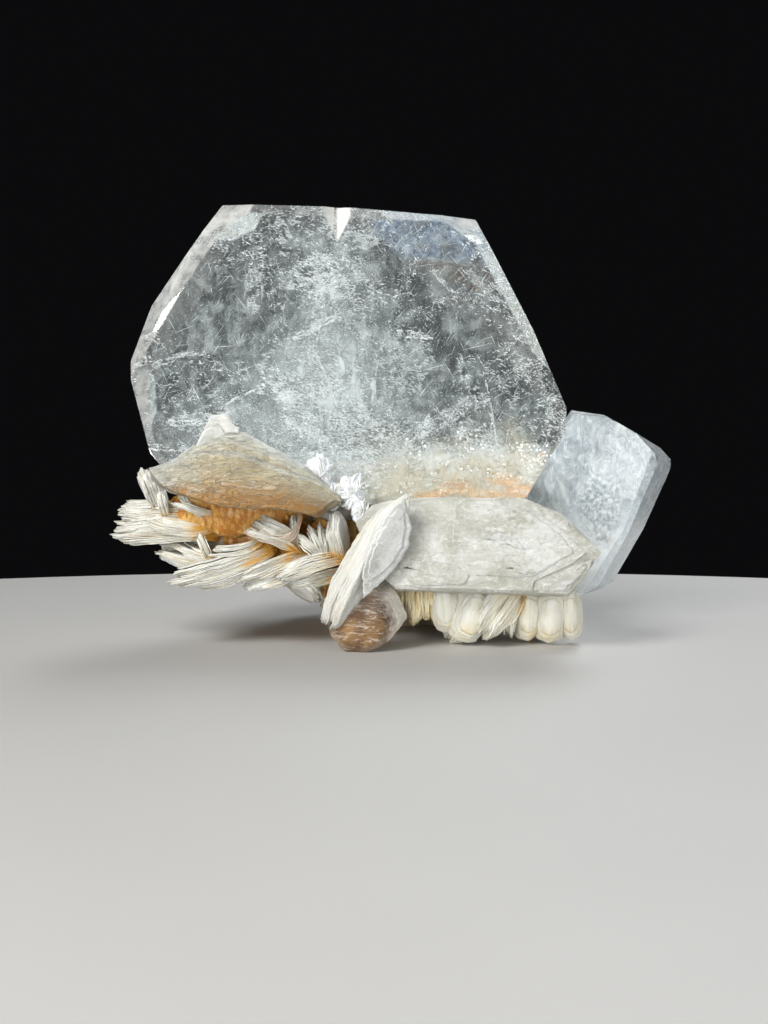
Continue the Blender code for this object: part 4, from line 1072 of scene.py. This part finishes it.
def flecks(places, ways, lengths, widths, powers, sides, seed):
    """White flecks at these places, each a spindle that is inside the crystal from end to end."""
    chance = np.random.default_rng(seed)
    long = chance.gamma(2.0, 0.5, len(places)) * (lengths[1] - lengths[0]) + lengths[0]
    half = 0.5 * MM * long[:, None] * unit(ways)
    fits = np.minimum(inside_by(places + half, sides), inside_by(places - half, sides)) > FLECK_CLEAR
    places, ways, long = places[fits], ways[fits], long[fits]
    wide = chance.uniform(*widths, len(places))
    points, faces = spindles(places, ways, long * MM, wide * MM, 3, seed)
    spark = chance.random(len(places)) ** powers[1] * powers[0]
    spark = spark + (1.0 - powers[0]) * chance.random(len(places)) ** 8
    return points, faces, {"spark": np.repeat(spark, 5)}


def tablet_inside():
    """What is inside the large beryl: streaky veils, a haze of specks, and fine needles."""
    chance = np.random.default_rng(SEED)
    white = veil_white("veil_white", (0.30, 0.34, 0.35), (1.0, 1.0, 1.0))

    places, ways = veil_places(90000, 90, TABLET_SIDES, TABLET_BOX, SEED + 1, (2.5, 8.0))
    kept = (chance.random(len(places)) < 0.8 + 0.2 * milkiness(places)) & clear_of_notch(places)
    form = flecks(places[kept][:VEIL_FLECKS], ways[kept][:VEIL_FLECKS], (0.08, 0.40), (0.04, 0.13),
                  (1.0, 1.1), TABLET_SIDES, SEED + 2)
    new_piece("beryl_veils", form, white, "clear_beryl")

    places = scattered(240000, TABLET_BOX, SEED + 3)
    kept = (chance.random(len(places)) < milkiness(places) ** 1.5) & clear_of_notch(places)
    places = places[kept][:HAZE_FLECKS]
    ways = chance.normal(size=places.shape)
    form = flecks(places, ways, (0.05, 0.14), (0.04, 0.10), (0.7, 1.5), TABLET_SIDES, SEED + 4)
    new_piece("beryl_haze", form, white, "clear_beryl")

    places = scattered(9000, TABLET_BOX, SEED + 5)
    places = places[clear_of_notch(places)][:NEEDLES]
    family = np.radians(np.array(NEEDLE_WAYS))[chance.integers(0, len(NEEDLE_WAYS), len(places))]
    family = family + chance.normal(0.0, 0.16, len(places))
    ways = np.stack((np.cos(family), chance.normal(0.0, 0.5, len(places)), np.sin(family)), axis=-1)
    form = flecks(places, ways, (0.4, 1.7), (0.03, 0.06), (0.9, 1.6), TABLET_SIDES, SEED + 6)
    new_piece("beryl_needles", form, white, "clear_beryl")


def foot_grains():
    """Pale and stained grains inside the large beryl, in clusters just above its foot at the right."""
    chance = np.random.default_rng(SEED + 20)
    low, high = TABLET_BOX
    box = ((-4.0 * MM, low[1], low[2]), (high[0], high[1], low[2] + 9.0 * MM))
    places = scattered(60000, box, SEED + 21)
    above = foot_of_tablet(places)[0]
    inwards = smooth_step(places[:, 0] / MM, -4.0, 6.0)
    kept = (chance.random(len(places)) < inwards * np.exp(-above / (1.3 * MM)))
    kept = kept & (waves(places, 4.0 * MM, SEED + 23) > 0.1) & (places[:, 1] < 1.0 * MM)
    places, above = places[kept][:FOOT_GRAINS], above[kept][:FOOT_GRAINS]
    count = len(places)
    right = np.clip((places[:, 0] / MM + 2.0) / 16.0, 0.0, 1.0)
    spark = np.clip(0.9 - right * 0.6 + 0.6 * (above / MM - 0.7) + 0.4 * chance.normal(size=count), 0, 1)
    points, faces = spindles(places, chance.normal(size=(count, 3)), chance.uniform(0.15, 0.6, count) * MM,
                             chance.uniform(0.12, 0.45, count) * MM, 4, SEED + 22)

    finish = Finish("foot_grains")
    [tone] = finish.numbers("spark")
    colour = finish.coats(
        (0.60, 0.28, 0.07),
        (tone.between(0.0, 0.45), (0.60, 0.47, 0.30)),
        (tone.between(0.45, 1.0), (0.88, 0.87, 0.85)))
    material = finish.done(finish.surface(colour, 0.12))
    new_piece("beryl_foot_grains", (points, faces, {"spark": np.repeat(spark, 6)}), material, "iron_stain")


def small_inside():
    """Veils and haze in the small beryl."""
    white = veil_white("cloud_white", (0.55, 0.62, 0.68), (0.97, 0.99, 1.0))
    places, ways = veil_places(30000, 26, SMALL_SIDES, SMALL_BOX, SEED + 30, (1.5, 5.0))
    form = flecks(places[:SMALL_FLECKS], ways[:SMALL_FLECKS], (0.12, 0.4), (0.04, 0.12), (0.9, 1.0),
                  SMALL_SIDES, SEED + 31)
    new_piece("small_beryl_veils", form, white, "cloudy_beryl")


def seat():
    """The stained seat: a lump whose top is level with the large crystal's foot."""
    points, faces, numbers = lump(SEAT_CENTRE, SEAT_RADII, SEAT_ROUGHNESS, SEAT_WAVES, SEED + 60)
    points = np.clip(points, *np.array(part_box("stained_matrix")))
    above, outwards = foot_of_tablet(points)
    points = points + np.maximum(above + SEAT_GAP, 0.0)[:, None] * outwards
    finish = Finish("iron_stain")
    material = finish.done(seat_shader(finish))
    new_piece("stained_seat", (points, faces, numbers), material, "iron_stain", "stained_matrix")


# The shell, the lens and the plate.

def along_line(points, share):
    """Places along a smooth line through points: between two, the cubic that keeps to their neighbours."""
    place = np.clip(share, 0.0, 1.0) * (len(points) - 1)
    low = np.minimum(place.astype(int), len(points) - 2)
    t = (place - low)[..., None]
    before, first = points[np.maximum(low - 1, 0)], points[low]
    second, after = points[low + 1], points[np.minimum(low + 2, len(points) - 1)]
    return 0.5 * (2.0 * first + (second - before) * t
                  + (2.0 * before - 5.0 * first + 4.0 * second - after) * t ** 2
                  + (3.0 * first - before - 3.0 * second + after) * t ** 3)


def shell_sheets():
    """The curved book's sheets. A point is rim + drop (lip - rim) + (crown sin(pi drop) - depth) outwards.

    The innermost sheet reaches the rim, and each one outside it starts further down, so that their
    edges make steps below the rim. All close towards the two ends of the run.
    """
    chance = np.random.default_rng(SEED + 40)
    count, columns = SHELL_SHEETS, SHELL_COLUMNS
    run = np.linspace(0.0, 1.0, columns)[None, None]
    rim, lip = along_line(SHELL_RIM, run[0, 0]), along_line(SHELL_LIP, run[0, 0])
    sheet = np.arange(count)[:, None, None]
    outer = 1.0 - sheet / (count - 1.0)
    phase = chance.uniform(0.0, 2.0 * math.pi, (count, 1, 1))
    steps = 0.75 + 0.35 * np.sin(5.0 * run + phase) + 0.10 * np.sin(23.0 * run + phase)
    starts = 0.36 * outer ** 1.3 * steps + 0.012 * chance.random((count, 1, columns))
    closing = smooth_step(run, 0.84, 1.0) * 0.62 + (1.0 - smooth_step(run, 0.0, 0.07)) * 0.35
    stops = 1.0 - closing - 0.02 * chance.random((count, 1, columns)) - 0.10 * (1.0 - outer) ** 2
    starts = np.minimum(starts, stops - 0.12)
    v = np.linspace(0.0, 1.0, SHELL_ROWS)[None, :, None]
    drop = starts + (stops - starts) * v
    place = (sheet + 0.5) / count
    turned_down = smooth_step(drop, 0.0, 0.5)
    forward = 0.7 * SHELL_THICK * (1.0 - place) * (1.0 - turned_down)
    depth = SHELL_THICK * place * turned_down * (1.0 - 0.5 * smooth_step(drop, 0.75, 1.0))
    rise = SHELL_CROWN * np.sin(math.pi * drop) - depth
    flat = (rim + (lip - rim) * drop[..., None] + rise[..., None] * CROWN_WAY
            - forward[..., None] * BACKWARDS)
    bulge = 0.22 * waves(flat, 5.0, SEED + 41) + 0.09 * waves(flat, 1.8, SEED + 42)
    centre = flat + bulge[..., None] * CROWN_WAY
    return slabs(centre * MM, 0.72 * SHELL_THICK / count * MM * CROWN_WAY, {"reach": drop, "part": v})


def lens_sheets(chance):
    """The leaning book's sheets: long leaves, widest near the top, whose ends step along the book.

    With v from 0 at the foot to 1 at the top and u from -1 to 1 across, a point of the sheet at s (-1 to
    1) in the stack is middle + (v - 1/2) length along + u w(v)/2 across + s stack/2 through. Across and
    through turn about the book's middle line as v grows.
    """
    foot, top = LENS_FOOT * MM, LENS_TOP * MM
    length, along, through, across = book_axes(foot, top, LENS_ROLL)
    count, rows = LENS_SHEETS, LENS_ROWS
    share = np.linspace(-1.0, 1.0, count)[:, None, None]
    v, u = parameters(rows, LEAF_COLUMNS)
    packet = np.arange(count) // PACKET_SHEETS
    packets = packet.max() + 1
    reach = chance.uniform(0.94, 1.0, packets)[packet] * chance.uniform(0.985, 1.0, count)
    reach = reach[:, None, None] * np.sqrt(1.0 - np.where(share < 0.0, *LENS_POINT) * share ** 2)
    widths = chance.uniform(0.80, 1.0, packets)[packet][:, None, None]
    slide = chance.normal(0.0, 0.02, packets)[packet][:, None, None]
    leaf = np.clip(v / 0.25 + 0.18, 0.0, 1.0) ** 0.7 * np.clip((1.0 - v) / 0.20 + 0.06, 0.0, 1.0) ** 0.8
    wide = 0.5 * LENS_WIDTH * MM * (1.0 - 0.18 * share ** 2) * leaf * (0.82 + 0.18 * v) * widths
    ragged = ragged_sides(chance, count, rows, u, 0.08)
    room = LENS_STACK * MM / count
    uneven = chance.normal(0.0, 0.03 * room, (count, rows, LEAF_COLUMNS))
    rise = share * (LENS_STACK * MM - room) / 2.0 + uneven
    ends = 1.0 - chance.uniform(0.0, 0.05, (count, 1, LEAF_COLUMNS)) * (2.0 * v - 1.0) ** 4
    twist = (math.radians(LENS_TWIST) * (v - 0.5))[..., None]
    across, through = (np.cos(twist) * across + np.sin(twist) * through,
                       np.cos(twist) * through - np.sin(twist) * across)
    centre = ((foot + top) / 2.0 + (length * (reach * ends * (v - 0.5) + slide))[..., None] * along
              + (u * wide * ragged)[..., None] * across + rise[..., None] * through)
    centre = centre + (0.22 * MM * waves(centre, 3.4 * MM, SEED + 6))[..., None] * through
    return slabs(centre, SHEET_FILL * room * through, {
        "reach": 0.5 + 0.5 * v, "sheet": chance.random((count, 1, 1)), "along": v * length / MM,
        "across": u * wide / MM, "through": LENS_START + share * LENS_STACK / 2.0,
        "rim": np.maximum(np.abs(u), np.abs(2.0 * v - 1.0) ** 6)})


def thin_sheets(table, chance, base, right, up):
    """Thin sheets in front of a plane: each an outline made ragged, a rim inside it, and a middle.

    The outline's numbers a and b give the point base + a right + b up.
    """
    base, right, up = np.array(base), np.array(right), np.array(up)
    forms = []
    for lift, outline in table:
        corners = np.array(outline)
        ends = np.roll(corners, -1, axis=0)
        counts = np.maximum(2, (np.linalg.norm(ends - corners, axis=-1) / 0.3).astype(int))
        border = np.concatenate([
            start + (end - start) * np.linspace(0.0, 1.0, count, endpoint=False)[:, None]
            for start, end, count in zip(corners, ends, counts)])
        middle = border.mean(0)
        border = border + chance.normal(0.0, 0.05, border.shape) + 0.08 * waves(
            np.pad(border, ((0, 0), (0, 1))), 1.5, SEED + 52)[:, None]
        inwards = np.minimum(0.28 / np.linalg.norm(border - middle, axis=-1), 0.5)
        inner = border - inwards[:, None] * (border - middle)
        count = len(border)
        times = (count, count, count, 1, 1)
        flat = np.concatenate((border, border, inner, middle[None], middle[None]))
        front = lift + SHEET_FRONT
        height = np.repeat((lift - SHEET_BACK, front, front, front, lift - SHEET_BACK), times)
        points = base + flat[:, :1] * right + flat[:, 1:] * up + height[:, None] * unit(np.cross(right, up))
        low = np.arange(count)
        after = (low + 1) % count
        top, inside = low + count, low + 2 * count
        next_top, next_inside = after + count, after + 2 * count
        crest = np.full(count, 3 * count)
        faces = np.concatenate([np.stack(face, axis=-1) for face in (
            (low, top, next_top), (low, next_top, after), (top, inside, next_inside),
            (top, next_inside, next_top), (inside, crest, next_inside), (low, after, crest + 1))])
        forms.append((points * MM, faces, {"rim": np.repeat((1.0, 1.0, 0.0, 0.0, 0.0), times)}))
    return joined(forms)


# The studio.

def lamp(name, place, size, power, colour):
    """A soft square lamp that faces the specimen and isn't seen itself."""
    data = bpy.data.lights.new(name, "AREA")
    data.size = size * MM
    data.energy = power
    data.color = colour
    made = bpy.data.objects.new(name, data)
    made.location = np.array(place) * MM
    aim = VIEW_TARGET - np.array(place) * MM
    made.rotation_euler = Vector(aim).to_track_quat("-Z", "Y").to_euler()
    made.visible_camera = False
    bpy.context.scene.collection.objects.link(made)


def studio():
    """The camera, the lamps, the dark room and the pale table."""
    camera = bpy.data.objects.new("camera", bpy.data.cameras.new("camera"))
    camera.data.lens = VIEW_LENS
    camera.data.clip_start = 10.0 * MM
    forward = np.array((0.0, math.cos(VIEW_RISE), -math.sin(VIEW_RISE)))
    camera.location = VIEW_TARGET - VIEW_DISTANCE * forward
    camera.rotation_euler = (math.pi / 2.0 - VIEW_RISE, 0.0, 0.0)
    bpy.context.scene.collection.objects.link(camera)
    bpy.context.scene.camera = camera

    for row in LAMPS:
        lamp(*row)

    world = bpy.data.worlds.new("room")
    world.use_nodes = True
    world.node_tree.nodes["Background"].inputs["Color"].default_value = ROOM_COLOUR
    bpy.context.scene.world = world
    bpy.context.scene.view_settings.view_transform = "Standard"

    bm = bmesh.new()
    bmesh.ops.create_cone(bm, cap_ends=True, segments=160, radius1=TABLE_RADIUS, radius2=TABLE_RADIUS,
                          depth=TABLE_THICK)
    middle = (0.0, TABLE_BACK - TABLE_RADIUS, -0.5 * TABLE_THICK - TABLE_GAP)
    bmesh.ops.translate(bm, verts=bm.verts, vec=middle)
    table = object_of("table", bm)
    table.data.materials.append(floor_finish())
    bpy.context.scene.collection.objects.link(table)


def specimen():
    """Every piece of the specimen."""
    crystal("large_beryl", "beryl_crystal", clear_beryl(), "clear_beryl", tablet_facet)
    crystal("small_beryl", "beryl_crystal_small", cloudy_beryl(), "cloudy_beryl", small_facet)
    tablet_inside()
    foot_grains()
    small_inside()
    seat()

    rust = (0.80, 0.40, 0.05)
    frosty = (0.70, 0.69, 0.64)
    straw = (0.72, 0.57, 0.31)
    white = mica("white_mica", (0.67, 0.655, 0.585), straw, rust, frosty, 0.5)
    tuft = mica("tuft_mica", (0.86, 0.87, 0.87), (0.84, 0.83, 0.78), straw, (0.80, 0.83, 0.84), -0.9)
    cream = mica("cream_mica", (0.90, 0.87, 0.74), (0.82, 0.62, 0.28), (0.80, 0.50, 0.15),
                 (0.80, 0.77, 0.64), 0.7)
    amber = mica("amber_mica", (0.95, 0.82, 0.52), (0.90, 0.64, 0.28), (0.66, 0.32, 0.06),
                 (0.92, 0.78, 0.50), 0.6)
    dull = mica("dull_mica", (0.78, 0.75, 0.68), (0.68, 0.57, 0.39), rust, frosty, 0.1)
    rosy = mica("rosy_mica", (0.62, 0.52, 0.42), (0.50, 0.36, 0.26), (0.60, 0.30, 0.14),
                (0.52, 0.40, 0.28), 0.2)
    warm = mica("warm_mica", (0.70, 0.69, 0.63), (0.66, 0.58, 0.46), (0.60, 0.42, 0.26),
                (0.56, 0.57, 0.53), -0.4)
    silver = plate_mica("silver_mica", (0.44, 0.45, 0.41), (0.76, 0.77, 0.74), (-1.15, 0.9), 1.2)
    pale = plate_mica("pale_mica", (0.42, 0.42, 0.35), (0.62, 0.62, 0.57), (-0.25, 0.6), 0.6)
    orange_core = core_finish("orange_core", (0.40, 0.15, 0.012), (0.80, 0.52, 0.17))
    pale_core = core_finish("pale_core", (0.66, 0.50, 0.28), (0.80, 0.72, 0.56))

    chance = np.random.default_rng(SEED + 2)
    new_piece("left_books", books(LEFT_BOOKS, 1), white, "white_mica", "mica_rosette_left")
    new_piece("white_tufts", joined([knot_sheets(knot, chance) for knot in TUFT_KNOTS]), tuft, "white_mica")
    new_piece("left_cores", cores(LEFT_CORES, 70), orange_core, "white_mica")

    heaps = [heap_sheets(heap, chance) for heap in UNDER_HEAPS]
    new_piece("under_books", books(UNDER_BOOKS, 3, heaps), cream, "cream_mica", "mica_rosette_under")
    new_piece("amber_books", books(AMBER_BOOKS, 5), amber, "cream_mica")
    new_piece("under_cores", cores(UNDER_CORES, 80), pale_core, "cream_mica")
    new_piece("back_books", books(BACK_BOOKS, 4), dull, "dull_mica", "mica_rosette_back")
    new_piece("back_cores", cores(BACK_CORES, 90), pale_core, "dull_mica")

    new_piece("shell_sheets", shell_sheets(), shell_mica(), "beige_mica", "mica_shell_book")
    new_piece("shell_blade", thin_sheets(SHELL_BLADES, chance, *BLADE_PLANE), silver, "beige_mica")
    new_piece("shell_arch", book_sheets(SHELL_ARCH, chance), rosy, "beige_mica")
    new_piece("lens_sheets", lens_sheets(chance), warm, "warm_mica", "mica_lens_book")
    new_piece("lens_leaf", thin_sheets(LENS_LEAF, chance, *LEAF_PLANE), silver, "warm_mica")
    new_piece("dome_sheets", heap_sheets(DOME_HEAP, chance), dome_mica(), "warm_mica")

    plate = object_of("mica_plate_body", eased_solid("mica_plate", PLATE_EASE))
    finish_piece(plate, pale, "pale_mica", "mica_plate")
    sheets = thin_sheets(PLATE_SHEETS, np.random.default_rng(SEED + 50), *PLATE_PLANE)
    new_piece("mica_plate_sheets", sheets, pale, "pale_mica")


specimen()
studio()
